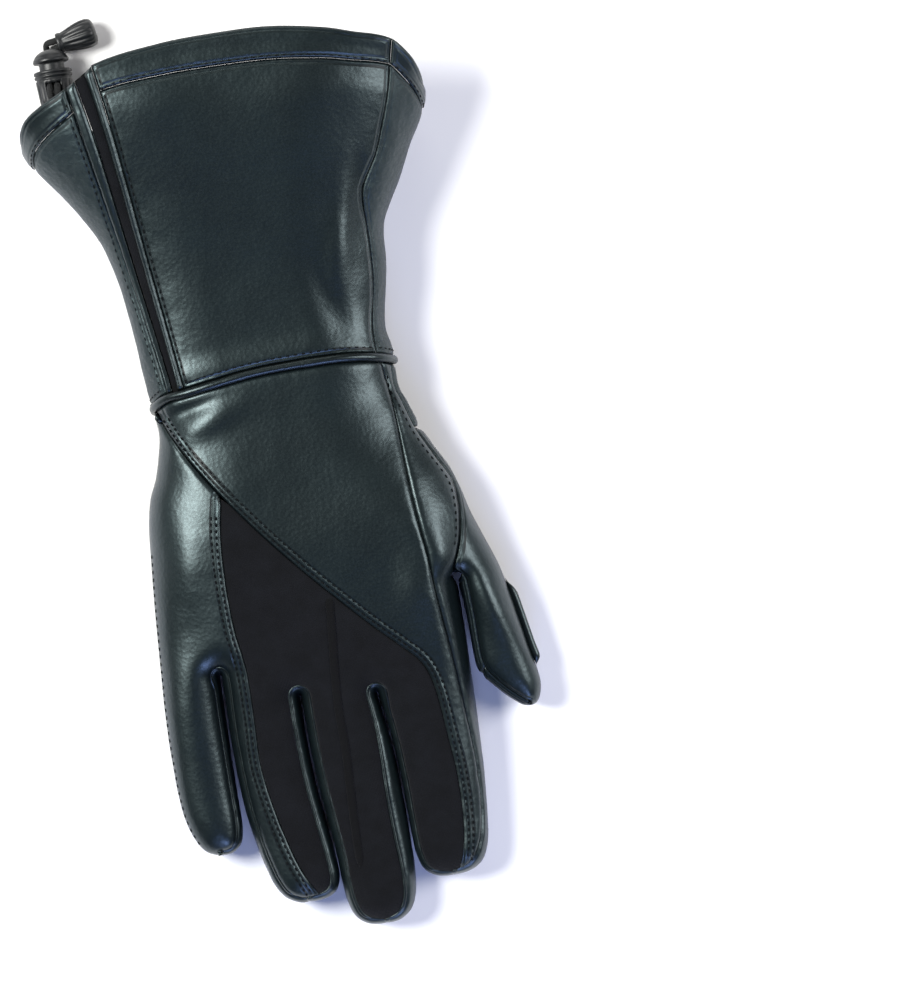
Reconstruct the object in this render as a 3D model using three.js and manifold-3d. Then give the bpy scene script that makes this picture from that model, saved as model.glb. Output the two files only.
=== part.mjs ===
// A leather motorcycle gauntlet for the right hand, lying palm down.
// Millimetres. +X is the thumb side, +Y runs up the cuff, +Z is up from the floor.
import * as THREE from 'three';
import Module from 'manifold-3d';
import { mergeVertices } from 'three/addons/utils/BufferGeometryUtils.js';

// Overall sizes
const HEEL_WIDTH = 100;      // across the heel of the hand, level with the thumb's root
const PALM_LENGTH = 100;     // wrist seam to the line across the finger roots
const FINGER_LENGTH = 100;   // that line to the ring fingertip; the middle one reaches 108 %
const CUFF_LENGTH = 100;     // wrist seam to the side corners of the mouth
const CUFF_WIDTH = 152;      // the mouth from corner to corner
const HAND_HEIGHT = 36;      // floor to the back of the hand
const CUFF_HEIGHT = 56;      // floor to the top of the mouth

// Walls, seams and trims
const LEATHER = 1.5;
const STRETCH = 1.3;
const RIB_KNIT = 1.2;
const SEAM_GAP = 0.5;
const HEM_WIDTH = 9;
const HEM_WALL = 2.3;
const WELT_RAISE = 0.7;
const GUSSET_SINK = 0.7;
const RING_RADIUS = 1.9;
const RING_GAP = 0.35;
const SLIT_HALF = 0.5;       // half the air between two fingers
const FOURCHETTE_WALL = 1.2;
const UNDER_SLACK = 0.25;    // extra air along the seams underneath
const TIP_SLACK = 0.35;      // and at the fingertips
const OUTER_TURN = 4;        // how far the outer panel turns under the little finger
const INDEX_TURN = 2.6;      // how far the index side panel turns under
const WIPER_WIDTH = 2.4;
const WIPER_REACH = 2.1;

// Drawcord and its lock
const CORD_DIAMETER = 2.4;
const CORD_GAP = 0.35;
const LOCK_RADIUS = 7.2;
const LOCK_LENGTH = 12;
const STEM_RADIUS = 4.7;
const STEM_CLEARANCE = 0.3;
const BUTTON_RADIUS = 6.8;
const BUTTON_TRAVEL = 2.5;
const BUTTON_STOP = 0.5;
const BELL_RADIUS = 5.6;
const BELL_LENGTH = 15;

const G = SEAM_GAP / 2;
const lerp = (a, b, t) => a + (b - a) * t;
const clamp = (t, a = 0, b = 1) => Math.min(b, Math.max(a, t));
const mix = (p, q, t) => [lerp(p[0], q[0], t), lerp(p[1], q[1], t)];
const fade = (t) => (t >= 1 ? 0 : (1 - t) * (1 - t));

// Plan points are written in percent: across of HEEL_WIDTH (of CUFF_WIDTH's share up the cuff),
// along of CUFF_LENGTH above the wrist, of PALM_LENGTH to the finger roots, then of FINGER_LENGTH
const along = (v) => (v > 0 ? (v / 100) * CUFF_LENGTH
  : v > -100 ? (v / 100) * PALM_LENGTH : -PALM_LENGTH + ((v + 100) / 100) * FINGER_LENGTH);
const level = (y) => (y > 0 ? (y / CUFF_LENGTH) * 100
  : y > -PALM_LENGTH ? (y / PALM_LENGTH) * 100 : -100 + ((y + PALM_LENGTH) / FINGER_LENGTH) * 100);
const across = (v) => lerp(HEEL_WIDTH / 100, CUFF_WIDTH / 152, clamp(v / 100));
const place = ([u, v]) => [u * across(v), along(v)];

// A smooth table read at x: rows of [x, value], x rising
function table(rows) {
  return (x) => {
    if (x <= rows[0][0]) return rows[0][1];
    const last = rows.length - 1;
    if (x >= rows[last][0]) return rows[last][1];
    let i = 0;
    while (x > rows[i + 1][0]) i += 1;
    const [x0, y0] = rows[i];
    const [x1, y1] = rows[i + 1];
    const slope = (a, b) => (rows[b][1] - rows[a][1]) / (rows[b][0] - rows[a][0]);
    const m0 = i > 0 ? slope(i - 1, i + 1) : slope(0, 1);
    const m1 = i + 1 < last ? slope(i, i + 2) : slope(last - 1, last);
    const h = x1 - x0;
    const t = (x - x0) / h;
    return y0 * (2 * t ** 3 - 3 * t * t + 1) + m0 * h * (t ** 3 - 2 * t * t + t)
      + y1 * (3 * t * t - 2 * t ** 3) + m1 * h * (t ** 3 - t * t);
  };
}

// Fingertips, and how close a plan point is to one: 1 on the tip, 0 from 3 mm away
const TIPS = {
  little: [-50.5, -172.6], ring: [-20, -195.2], middle: [7.5, -208],
  index: [35.5, -194.2], thumb: [74.8, -136],
};
const TIP_REACH = 3;
const nearTip = (p) => Object.values(TIPS).map(place).reduce((most, [x, y]) => {
  const t = clamp(1.35 - Math.hypot(p[0] - x, p[1] - y) / TIP_REACH);
  return Math.max(most, t * t * (3 - 2 * t));
}, 0);

// A dense plan polyline with its length, its inward normals and its insets
class Line {
  constructor(points, sign = 1) {
    this.points = points;
    this.sign = sign;
    this.run = [0];
    for (let i = 1; i < points.length; i += 1) {
      const [a, b] = [points[i - 1], points[i]];
      this.run.push(this.run[i - 1] + Math.hypot(b[0] - a[0], b[1] - a[1]));
    }
    this.length = this.run[this.run.length - 1];
  }

  at(t) {
    const s = clamp(t) * this.length;
    let i = 1;
    while (i < this.run.length - 1 && this.run[i] < s) i += 1;
    const span = this.run[i] - this.run[i - 1];
    return mix(this.points[i - 1], this.points[i], span > 0 ? (s - this.run[i - 1]) / span : 0);
  }

  normal(t) {
    const step = 0.3 / this.length;
    const a = this.at(t - step);
    const b = this.at(t + step);
    const d = Math.hypot(b[0] - a[0], b[1] - a[1]) || 1;
    const n = [(-(b[1] - a[1]) / d) * this.sign, ((b[0] - a[0]) / d) * this.sign];
    const [nx, ny] = mix(n, [0, 1], nearTip(this.at(t)));
    const size = Math.hypot(nx, ny) || 1;
    return [nx / size, ny / size];
  }

  inset(depth) {
    const far = typeof depth === 'function' ? depth : () => depth;
    return new Line(this.points.map((p, i) => {
      const t = this.run[i] / this.length;
      const n = this.normal(t);
      return [p[0] + n[0] * far(t), p[1] + n[1] * far(t)];
    }), this.sign);
  }

  part(t0, t1) {
    const inner = this.points.filter((p, i) => {
      const t = this.run[i] / this.length;
      return t > t0 + 1e-6 && t < t1 - 1e-6;
    });
    return new Line([this.at(t0), ...inner, this.at(t1)], this.sign);
  }

  reversed() { return new Line([...this.points].reverse(), -this.sign); }

  join(other) { return new Line([...this.points, ...other.points], this.sign); }

  endingAt(p) { return new Line([...this.points.slice(0, -1), p], this.sign); }

  nearest([x, y]) {
    let best = 0;
    let least = Infinity;
    this.points.forEach((p, i) => {
      const d = Math.hypot(p[0] - x, p[1] - y);
      if (d < least) { least = d; best = i; }
    });
    return this.run[best] / this.length;
  }

  // Shares of the length where a row falls: no bend over turn degrees, no step over reach
  rows(turn, reach) {
    const shares = [0];
    let from = 0;
    let bend = 0;
    let way = null;
    for (let i = 1; i < this.points.length - 1; i += 1) {
      const t = this.run[i] / this.length;
      const n = this.normal(t);
      const angle = Math.atan2(n[1], n[0]);
      if (way !== null) {
        const d = Math.abs(Math.atan2(Math.sin(angle - way), Math.cos(angle - way)));
        bend += (d * 180) / Math.PI;
      }
      way = angle;
      if (bend > turn || this.run[i] - from > reach) {
        shares.push(t);
        from = this.run[i];
        bend = 0;
      }
    }
    if (this.length - from < reach * 0.25 && shares.length > 1 && bend < turn * 0.5) shares.pop();
    shares.push(1);
    return shares;
  }
}

// A smooth line through plan points in percent
function spline(points, placed = false) {
  const knots = (placed ? points : points.map(place)).map(([x, y]) => new THREE.Vector3(x, y, 0));
  const path = new THREE.CatmullRomCurve3(knots, false, 'centripetal');
  path.arcLengthDivisions = 300;
  const count = Math.max(6, Math.ceil(path.getLength() / 1.2));
  return new Line(path.getSpacedPoints(count).map((p) => [p.x, p.y]));
}

// A slit between two fingers: up the near side, round its end, down the far side
function slit(near, end, far) {
  const [cx, cy] = place(end);
  const turn = [];
  for (let i = 0; i <= 8; i += 1) {
    const a = Math.PI - (Math.PI * i) / 8;
    turn.push([cx + SLIT_HALF * Math.cos(a), cy + SLIT_HALF * Math.sin(a)]);
  }
  const up = spline([...near.map(place), turn[0]], true);
  const down = spline([turn[8], ...far.map(place)], true);
  const whole = new Line([...up.points.slice(0, -1), ...turn, ...down.points.slice(1)]);
  whole.end = (up.length + (Math.PI * SLIT_HALF) / 2) / whole.length;
  return whole;
}

// Outline at half height, read with the inside on its left
const leftEdge = spline([[-79, 101], [-77.6, 96.6], [-75, 92.5], [-70, 85.6], [-65, 78.2], [-60, 70],
  [-55.6, 61], [-53, 52], [-51.5, 44], [-50, 30], [-49, 20], [-48.3, 10], [-47.6, 3], [-46.9, -3],
  [-46.4, -12], [-48, -20], [-50.5, -28.5], [-53.8, -36], [-56, -46], [-57.5, -60], [-59, -75],
  [-60.2, -90], [-61, -103], [-61.8, -117], [-62.3, -131], [-62.2, -145], [-61.2, -156],
  [-58.8, -164.5], [-55.5, -169.8], TIPS.little]);
const rightEdge = spline([[73.4, 100], [72.4, 94.5], [70, 89], [65, 80], [59, 68.5], [54, 60],
  [50.3, 52], [48.8, 41], [47, 30], [44.7, 20], [44, 13], [45, 7], [45.4, 1], [45, -4], [45.2, -9],
  [47.8, -16], [50.6, -25], [54.5, -33], [58.8, -41], [61.8, -50], [64.3, -60], [68, -70.5],
  [71.6, -81], [73.7, -91], [75.6, -101.5], [77.4, -112], [79.2, -121], [79.8, -128.5],
  [78.4, -133.2], [76.9, -135.3], TIPS.thumb]);
rightEdge.sign = -1;
const slitLittle = slit(
  [TIPS.little, [-45.5, -172.2], [-42, -169.5], [-40.4, -164], [-40.1, -150], [-39.9, -130], [-39.4, -113]],
  [-38.7, -105.4],
  [[-38.4, -113], [-38.8, -130], [-38.6, -145], [-37.6, -160], [-36, -170], [-34, -179],
    [-31.5, -187], [-28, -192.3], [-23, -194.9], TIPS.ring]);
const slitRing = slit(
  [TIPS.ring, [-14, -194.9], [-9.5, -193], [-7.3, -188.5], [-7.4, -180], [-9, -165], [-10.4, -150],
  [-10.9, -135]],
  [-10.5, -117.6],
  [[-9.9, -135], [-9.4, -150], [-8, -165], [-6.6, -180], [-6.3, -190], [-5.4, -198],
    [-3.2, -203.8], [1, -207], TIPS.middle]);
const slitMiddle = slit(
  [TIPS.middle, [13, -207.3], [17.5, -204.3], [20.2, -198.5], [21.4, -190], [21.5, -175], [21.2, -155],
  [20.3, -140], [18.8, -128]],
  [18.3, -121.2],
  [[19.8, -128], [21.3, -140], [22.2, -155], [22.6, -175], [23.2, -185], [25.2, -190.5],
    [29, -193.2], TIPS.index]);
const slitThumb = slit(
  [TIPS.index, [42, -193.4], [47, -190.6], [50.2, -184], [52, -172], [53.2, -158], [54, -140],
  [54.6, -120], [55, -103], [54.9, -92]],
  [55.1, -85.2],
  [[56, -92], [56.4, -103], [56.6, -113], [57.6, -119.5], [61, -124.5], [66, -130], [70.6, -134],
  [72.8, -135.5], TIPS.thumb]);

// Distance from a plan point to an outline
function distanceTo(lines) {
  const parts = lines.flatMap((line) => line.points.slice(1).map((b, i) => [line.points[i], b]));
  return (x, y) => {
    let least = Infinity;
    for (const [a, b] of parts) {
      const ex = b[0] - a[0];
      const ey = b[1] - a[1];
      const t = clamp(((x - a[0]) * ex + (y - a[1]) * ey) / (ex * ex + ey * ey || 1));
      const d = Math.hypot(x - a[0] - t * ex, y - a[1] - t * ey);
      if (d < least) least = d;
    }
    return least;
  };
}
const toLeft = distanceTo([leftEdge]);
const toRight = distanceTo([rightEdge]);
const toSlits = distanceTo([slitLittle, slitRing, slitMiddle, slitThumb]);

// How far in from each edge the section still curves, in percent of HEEL_WIDTH, by level
const upperLeft = table([[-208, 12], [-120, 13], [-103, 18], [-85, 30], [-40, 36], [0, 30], [50, 36],
  [110, 52]]);
const upperRight = table([[-140, 10.5], [-95, 11.5], [-80, 16], [-60, 28], [-30, 38], [0, 30], [50, 36],
  [110, 52]]);
const lowerLeft = table([[-208, 8], [-140, 8], [-105, 9], [-60, 14], [0, 15], [60, 22], [110, 30]]);
const lowerRight = table([[-140, 8], [-90, 9], [-50, 14], [0, 14], [60, 20], [110, 28]]);
const UPPER_SLIT = 12.5;
const LOWER_SLIT = 8;

// Crown height in shares of HAND_HEIGHT, growing to CUFF_HEIGHT up the cuff; then the half height
const crownShare = table([[-208, 0.56], [-190, 0.58], [-170, 0.6], [-145, 0.66], [-120, 0.75], [-100, 0.84],
  [-80, 0.92], [-60, 0.98], [-40, 1], [-15, 1], [0, 1.02]]);
const crownRise = table([[0, 0], [15, 0.03], [40, 0.2], [70, 0.55], [100, 0.88], [128, 1]]);
const halfShare = table([[-208, 0.27], [-170, 0.29], [-120, 0.33], [-80, 0.38], [-40, 0.42], [0, 0.45]]);

// Folds and dents: centre in percent, reach along and across in percent, turn in degrees,
// height as a share of HAND_HEIGHT
const BACK_FOLDS = [
  [-36, -6, 15, 3, 14, -0.045], [-28, -12, 14, 4, 20, 0.03], [-10, 9, 34, 4, 3, 0.02],
  [44, 62, 4, 12, -8, -0.06], [34, 48, 5, 18, -14, 0.045], [26, 26, 5, 16, 12, -0.03],
  [-10, 70, 26, 22, 0, -0.02], [-44, -62, 8, 14, 0, 0.03], [40, -86, 7, 12, 0, 0.035],
  [8, -40, 22, 16, 35, -0.02], [-26, 108, 16, 9, 0, 0.03], [30, 104, 18, 8, -6, 0.02],
  [-16, -120, 6, 5, 0, -0.02], [66, -96, 5, 14, 20, 0.04], [47, -6, 5, 3, 0, -0.05],
];
const PALM_FOLDS = [
  [4, 34, 30, 7, 22, 0.15], [24, 50, 24, 7, 30, 0.13], [34, 22, 16, 5, 8, 0.12],
  [-26, 60, 16, 14, -40, 0.1],
  [0, 3, 60, 5, 3, 0.08], [-4, -52, 13, 22, 8, 0.09], [-12, -88, 20, 6, -12, 0.05],
  [-30, 84, 20, 9, -10, 0.06],
  [30, -110, 10, 4, 30, 0.05], [10, 84, 30, 8, 4, 0.05],
];
function foldsAt(folds, x, y) {
  const v = level(y);
  const u = x / across(v);
  let sum = 0;
  for (const [cu, cv, ru, rv, turn, height] of folds) {
    const a = (turn * Math.PI) / 180;
    const du = (u - cu) * Math.cos(a) + (v - cv) * Math.sin(a);
    const dv = -(u - cu) * Math.sin(a) + (v - cv) * Math.cos(a);
    const q = (du / ru) ** 2 + (dv / rv) ** 2;
    if (q < 9) sum += height * Math.exp(-q);
  }
  return sum * HAND_HEIGHT;
}

const softMin = (values) => values.reduce((s, v) => s + Math.max(v, 1e-4) ** -6, 0) ** (-1 / 6);
const rise = (t, n) => (t >= 1 ? 1 : (1 - (1 - t) ** n) ** (1 / n));
const swell = (t) => { const s = clamp(t); return s * s * (3 - 2 * s); };

function crownAt(x, y) {
  const v = level(y);
  const hand = crownShare(Math.min(v, 0)) * HAND_HEIGHT;
  const tall = v > 0 ? lerp(hand, CUFF_HEIGHT, crownRise(v)) : hand;
  const u = x / across(v);
  const thumb = swell((u - 50) / 9) * swell((-v - 52) / 26) * 0.15;
  const little = swell((-u - 32) / 16) * swell((-v - 60) / 40) * 0.06;
  return tall - (thumb + little) * HAND_HEIGHT;
}
function halfAt(x, y) {
  const v = level(y);
  const hand = halfShare(Math.min(v, 0)) * HAND_HEIGHT;
  return v > 0 ? lerp(hand, CUFF_HEIGHT * 0.46, crownRise(v)) : hand;
}
function upperAt(x, y) {
  const v = level(y);
  const s = HEEL_WIDTH / 100;
  const t = softMin([toLeft(x, y) / (upperLeft(v) * s), toRight(x, y) / (upperRight(v) * s),
    toSlits(x, y) / (UPPER_SLIT * s)]);
  const half = halfAt(x, y);
  const f = rise(t, 2.25);
  return half + (crownAt(x, y) - half) * f + foldsAt(BACK_FOLDS, x, y) * clamp(t * 2.5);
}
function lowerAt(x, y) {
  const v = level(y);
  const s = HEEL_WIDTH / 100;
  const t = softMin([toLeft(x, y) / (lowerLeft(v) * s), toRight(x, y) / (lowerRight(v) * s),
    toSlits(x, y) / (LOWER_SLIT * s)]);
  return halfAt(x, y) * (1 - rise(t, 2.3)) + foldsAt(PALM_FOLDS, x, y) * clamp(t * 2) * lerp(0.35, 1,
    clamp(t));
}

// A point of the glove's skin with its outward normal: side 1 is the back, -1 the palm, 0 the outline
function skin({ x, y, side, inward }) {
  if (side === 0) {
    return { p: [x, y, halfAt(x, y)], n: [-inward[0], -inward[1], 0] };
  }
  const height = side > 0 ? upperAt : lowerAt;
  const near = Math.min(toLeft(x, y), toRight(x, y), toSlits(x, y));
  const h = clamp(near * 0.5, 0.02, 0.25);
  const dx = (height(x + h, y) - height(x - h, y)) / (2 * h);
  const dy = (height(x, y + h) - height(x, y - h)) / (2 * h);
  const d = Math.hypot(dx, dy, 1);
  let z = height(x, y);
  if (side < 0) z = Math.max(0, z);
  return { p: [x, y, z], n: [(-dx / d) * side, (-dy / d) * side, side / d] };
}

// A grid of skin points between two lines, with edges pulled onto the wrist or the mouth
const at = (line, t) => (typeof line === 'function' ? line(t) : line.at(t));
const steps = (n) => Array.from({ length: n + 1 }, (unused, i) => i / n);
// Two lists of rows in one, without rows that fall close together
const merge = (a, b) => [...a, ...b.filter((t) => a.every((s) => Math.abs(s - t) > 0.025))].sort((p,
  q) => p - q);
const between = (shares, a, b) => {
  const inner = shares.filter((t) => t > a + 0.012 && t < b - 0.012);
  return [a, ...inner, b];
};
function pulled(x, y, head, foot, u, edges) {
  const up = edges.head ? (edges.head(head[0]) - head[1]) * fade(u / 0.4) : 0;
  const down = edges.foot ? (edges.foot(foot[0]) - foot[1]) * fade((1 - u) / 0.4) : 0;
  return [x, y + up + down];
}
function band(us, cols, left, right, { side = 1, ...edges } = {}) {
  const vs = Array.isArray(cols) ? cols : steps(cols);
  return us.map((u) => vs.map((v) => {
    const [x, y] = mix(at(left, u), at(right, u), v);
    const head = mix(at(left, 0), at(right, 0), v);
    const foot = mix(at(left, 1), at(right, 1), v);
    const [px, py] = pulled(x, y, head, foot, u, edges);
    return skin({ x: px, y: py, side });
  }));
}
// A grid that runs from a line on the back, over the outline, to a line on the palm
function wrap(us, upper, edge, lower,
  { tops = [1, 0.7, 0.42, 0.2], unders = [0.28, 0.62, 1], ...edges } = {}) {
  return us.map((u) => {
    const row = [];
    const rim = edge.at(u);
    const one = (line, e, side) => {
      const [x, y] = mix(rim, at(line, u), e * e);
      const head = mix(edge.at(0), at(line, 0), e * e);
      const foot = mix(edge.at(1), at(line, 1), e * e);
      const set = side > 0 ? edges : { head: edges.headUnder, foot: edges.footUnder };
      const [px, py] = pulled(x, y, head, foot, u, set);
      row.push(skin({ x: px, y: py, side }));
    };
    tops.forEach((e) => one(upper, e, 1));
    row.push(skin({ x: rim[0], y: rim[1], side: 0, inward: edge.normal(u) }));
    unders.forEach((e) => one(lower, e, -1));
    return row;
  });
}

// Looks
const paint = (color, roughness, metalness = 0) => new THREE.MeshStandardMaterial({ color, roughness,
  metalness });
const SMOOTH = paint(0x232b30, 0.36);
const GRAINED = paint(0x2a3236, 0.5);
const FABRIC_BLACK = paint(0x17181b, 0.92);
const RIB_BLACK = paint(0x121315, 0.88);
const CORD_BLACK = paint(0x0f1011, 0.8);
const PLASTIC = paint(0x15171a, 0.4);

const group = new THREE.Group();
const cordNodes = new Set();
function addMesh(name, material, positions, index) {
  const geometry = new THREE.BufferGeometry();
  geometry.setAttribute('position', new THREE.Float32BufferAttribute(positions, 3));
  geometry.setIndex(index);
  const mesh = new THREE.Mesh(geometry, material);
  mesh.name = name;
  group.add(mesh);
  return mesh;
}

// Thickens grids of skin points inward into one closed shell
function shell(name, material, grids, { wall = LEATHER, raise = 0 } = {}) {
  const seen = new Map();
  const skins = [];
  const id = (s) => {
    const key = s.p.map((c) => Math.round(c * 50)).join(' ');
    if (!seen.has(key)) { seen.set(key, skins.length); skins.push(s); }
    return seen.get(key);
  };
  const faces = [];
  const sub = (a, b) => [a[0] - b[0], a[1] - b[1], a[2] - b[2]];
  // Every face of a grid is wound the same way, the way that faces out for most of its area
  const triangle = (list, a, b, c) => {
    if (a === b || b === c || a === c) return 0;
    const u = sub(skins[b].p, skins[a].p);
    const v = sub(skins[c].p, skins[a].p);
    const n = [u[1] * v[2] - u[2] * v[1], u[2] * v[0] - u[0] * v[2], u[0] * v[1] - u[1] * v[0]];
    const m = [0, 1, 2].map((k) => skins[a].n[k] + skins[b].n[k] + skins[c].n[k]);
    list.push([a, b, c]);
    return n[0] * m[0] + n[1] * m[1] + n[2] * m[2];
  };
  for (const grid of grids) {
    const ids = grid.map((row) => row.map(id));
    const list = [];
    let facing = 0;
    for (let i = 0; i + 1 < ids.length; i += 1) {
      for (let j = 0; j + 1 < ids[i].length; j += 1) {
        const [a, b, c, d] = [ids[i][j], ids[i + 1][j], ids[i + 1][j + 1], ids[i][j + 1]];
        const ac = Math.hypot(...sub(skins[a].p, skins[c].p));
        const bd = Math.hypot(...sub(skins[b].p, skins[d].p));
        if (ac <= bd) facing += triangle(list, a, b, c) + triangle(list, a, c, d);
        else facing += triangle(list, a, b, d) + triangle(list, b, c, d);
      }
    }
    faces.push(...(facing >= 0 ? list : list.map(([a, b, c]) => [a, c, b])));
  }
  const offset = (s, k) => s.p.map((c, i) => (i < 2 ? c + s.n[i] * k : Math.max(0, c + s.n[i] * k)));
  const positions = skins.flatMap((s) => offset(s, raise)).concat(skins.flatMap((s) => offset(s,
    raise - wall)));
  const inner = skins.length;
  const index = faces.flatMap(([a, b, c]) => [a, b, c, inner + a, inner + c, inner + b]);
  const edges = new Map();
  for (const [a, b, c] of faces) {
    for (const [p, q] of [[a, b], [b, c], [c, a]]) edges.set(`${p} ${q}`, [p, q]);
  }
  for (const [p, q] of edges.values()) {
    if (!edges.has(`${q} ${p}`)) index.push(q, p, inner + p, q, inner + p, inner + q);
  }
  return addMesh(name, material, positions, index);
}

// The wrist seam and the mouth, as heights along Y over X
const wristBack = table([[-48, -3], [-41, 0.2], [-33, 0.9], [-20, 2.6], [-10, 3.8], [0, 4.4], [20, 4.4],
  [30, 3.9], [40, 2.4], [46.5, 0.8]]
  .map(place));
const wristPalm = table([[-48, -3.4], [-40, -2.4], [-30, -0.4], [-20, 1], [0, 2.4], [20, 3.8],
  [30, 4.2], [40, 3], [46.5, 0.6]]
  .map(place));
const mouthBack = table([[-79, 101], [-77.6, 105.4], [-74.5, 109.6], [-68, 113.4], [-57, 118.2],
  [-45, 125], [-20, 128.5], [0, 129],
  [20, 128.2], [40, 124.6], [50, 121.6], [64, 117], [70, 110.4], [72.6, 104.6], [73.4, 100]].map(place));
const mouthPalm = table([[-79, 101], [-74, 101.4], [-60, 105], [-45, 108], [-30, 110], [0, 111],
  [20, 109], [50, 103.6], [66, 99.6], [73.4, 100]]
  .map(place));
const RING_HALF = RING_RADIUS + RING_GAP;
const cuffBack = (x) => wristBack(x) + RING_HALF;
const cuffPalm = (x) => wristPalm(x) + RING_HALF;
const handBack = (x) => wristBack(x) - RING_HALF;
const handPalm = (x) => wristPalm(x) - RING_HALF;
const trim = (line, top, foot) => {
  const a = top ? line.points.findIndex(([x, y]) => y <= top(x)) : 0;
  const found = foot ? line.points.findIndex(([x, y]) => y <= foot(x)) : line.points.length - 1;
  const b = found < 0 ? line.points.length - 1 : found;
  return new Line(line.points.slice(a, b + 1), line.sign);
};

// Edge lines split at the wrist
const leftCuff = trim(leftEdge, null, cuffBack);
const leftHand = trim(leftEdge, handBack, null);
const rightCuff = trim(rightEdge, null, cuffBack);
const rightHand = trim(rightEdge, handBack, null);

// Cuff seams, from the mouth down to the wrist
const cuffLines = {
  sideSeam: [[-57.2, 118], [-54.5, 100], [-47, 50], [-41, 10], [-39.9, 2.2]],
  gussetLeft: [[-53.4, 120], [-50, 100], [-44.4, 50], [-39, 10], [-38, 2.4]],
  gussetRight: [[-49.4, 122.2], [-46, 100], [-41, 50], [-36.7, 10], [-35.8, 2.6]],
  backLeft: [[-46.3, 124.2], [-43, 100], [-38.5, 50], [-34.4, 10], [-33.4, 2.8]],
  backRight: [[64.5, 116.6], [62.4, 108], [60, 98], [56, 87], [52, 77], [48, 70.5], [45, 65.5], [44, 60],
    [44, 50], [43.4, 35], [42, 25], [40, 16], [39.5, 8], [39.8, 3.4]],
};
const seams = Object.fromEntries(Object.entries(cuffLines).map(([key, rows]) => {
  const line = spline(rows);
  return [key, trim(line, null, cuffBack)];
}));
const underLeft = leftCuff.inset((t) => lerp(9, 3.5, t));
const HEM_LINE_SHARE = 0.86;
const HEM_RAISE = 0.6;
const hemShare = HEM_WIDTH / CUFF_LENGTH * HEM_LINE_SHARE;
const hemGap = SEAM_GAP / CUFF_LENGTH;

// One cuff panel and its strip of hem, from the same lines
function cuffPanel(name, hemName, material, make, options = {}) {
  const us = options.rows ?? steps(10);
  shell(hemName, material, make([0, hemShare - hemGap]), {
    wall: HEM_WALL,
    raise: (HEM_WALL - LEATHER) * HEM_RAISE,
  });
  shell(name, material, make(between(us, hemShare, 1)), options);
}
const cuffRows = [0, 0.16, 0.25, 0.33, 0.4, 0.47, 0.55, 0.64, 0.74, 0.84, 0.93, 1];
cuffPanel('cuff_back_panel', 'hem_back', SMOOTH, (us) => [
  band(us, 9, seams.backLeft.inset(G), seams.backRight.inset(-G), { head: mouthBack, foot: cuffBack }),
], { rows: cuffRows });
shell('cuff_welt_inner', SMOOTH, [band(steps(6), 1, seams.gussetRight.inset(G), seams.backLeft.inset(-G))],
  { wall: LEATHER + WELT_RAISE, raise: WELT_RAISE });
shell('cuff_gusset_strip', FABRIC_BLACK,
  [band(steps(6), 1, seams.gussetLeft.inset(G), seams.gussetRight.inset(-G))],
  { wall: STRETCH, raise: -GUSSET_SINK });
shell('cuff_welt_outer', SMOOTH, [band(steps(6), 1, seams.sideSeam.inset(G), seams.gussetLeft.inset(-G))],
  { wall: LEATHER + WELT_RAISE, raise: WELT_RAISE });
cuffPanel('cuff_side_panel', 'hem_side', GRAINED, (us) => [
  wrap(us, seams.sideSeam.inset(-G), leftCuff, underLeft.inset(-G), {
    head: mouthBack, headUnder: mouthPalm, foot: cuffBack, footUnder: cuffPalm, unders: [0.5, 1],
  }),
], { rows: steps(8) });
cuffPanel('cuff_palm_panel', 'hem_palm', GRAINED, (us) => [
  wrap(us, seams.backRight.inset(G), rightCuff, (t) => mix(rightCuff.at(t), underLeft.inset(G).at(t),
  0.2), {
    head: mouthBack, headUnder: mouthPalm, foot: cuffBack, footUnder: cuffPalm, tops: [1, 0.6, 0.28],
    unders: [0.4, 0.72, 1],
  }),
  band(us, 7, (t) => mix(rightCuff.at(t), underLeft.inset(G).at(t), 0.2), underLeft.inset(G), {
    side: -1, head: mouthPalm, foot: cuffPalm,
  }),
], { rows: cuffRows });

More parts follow.
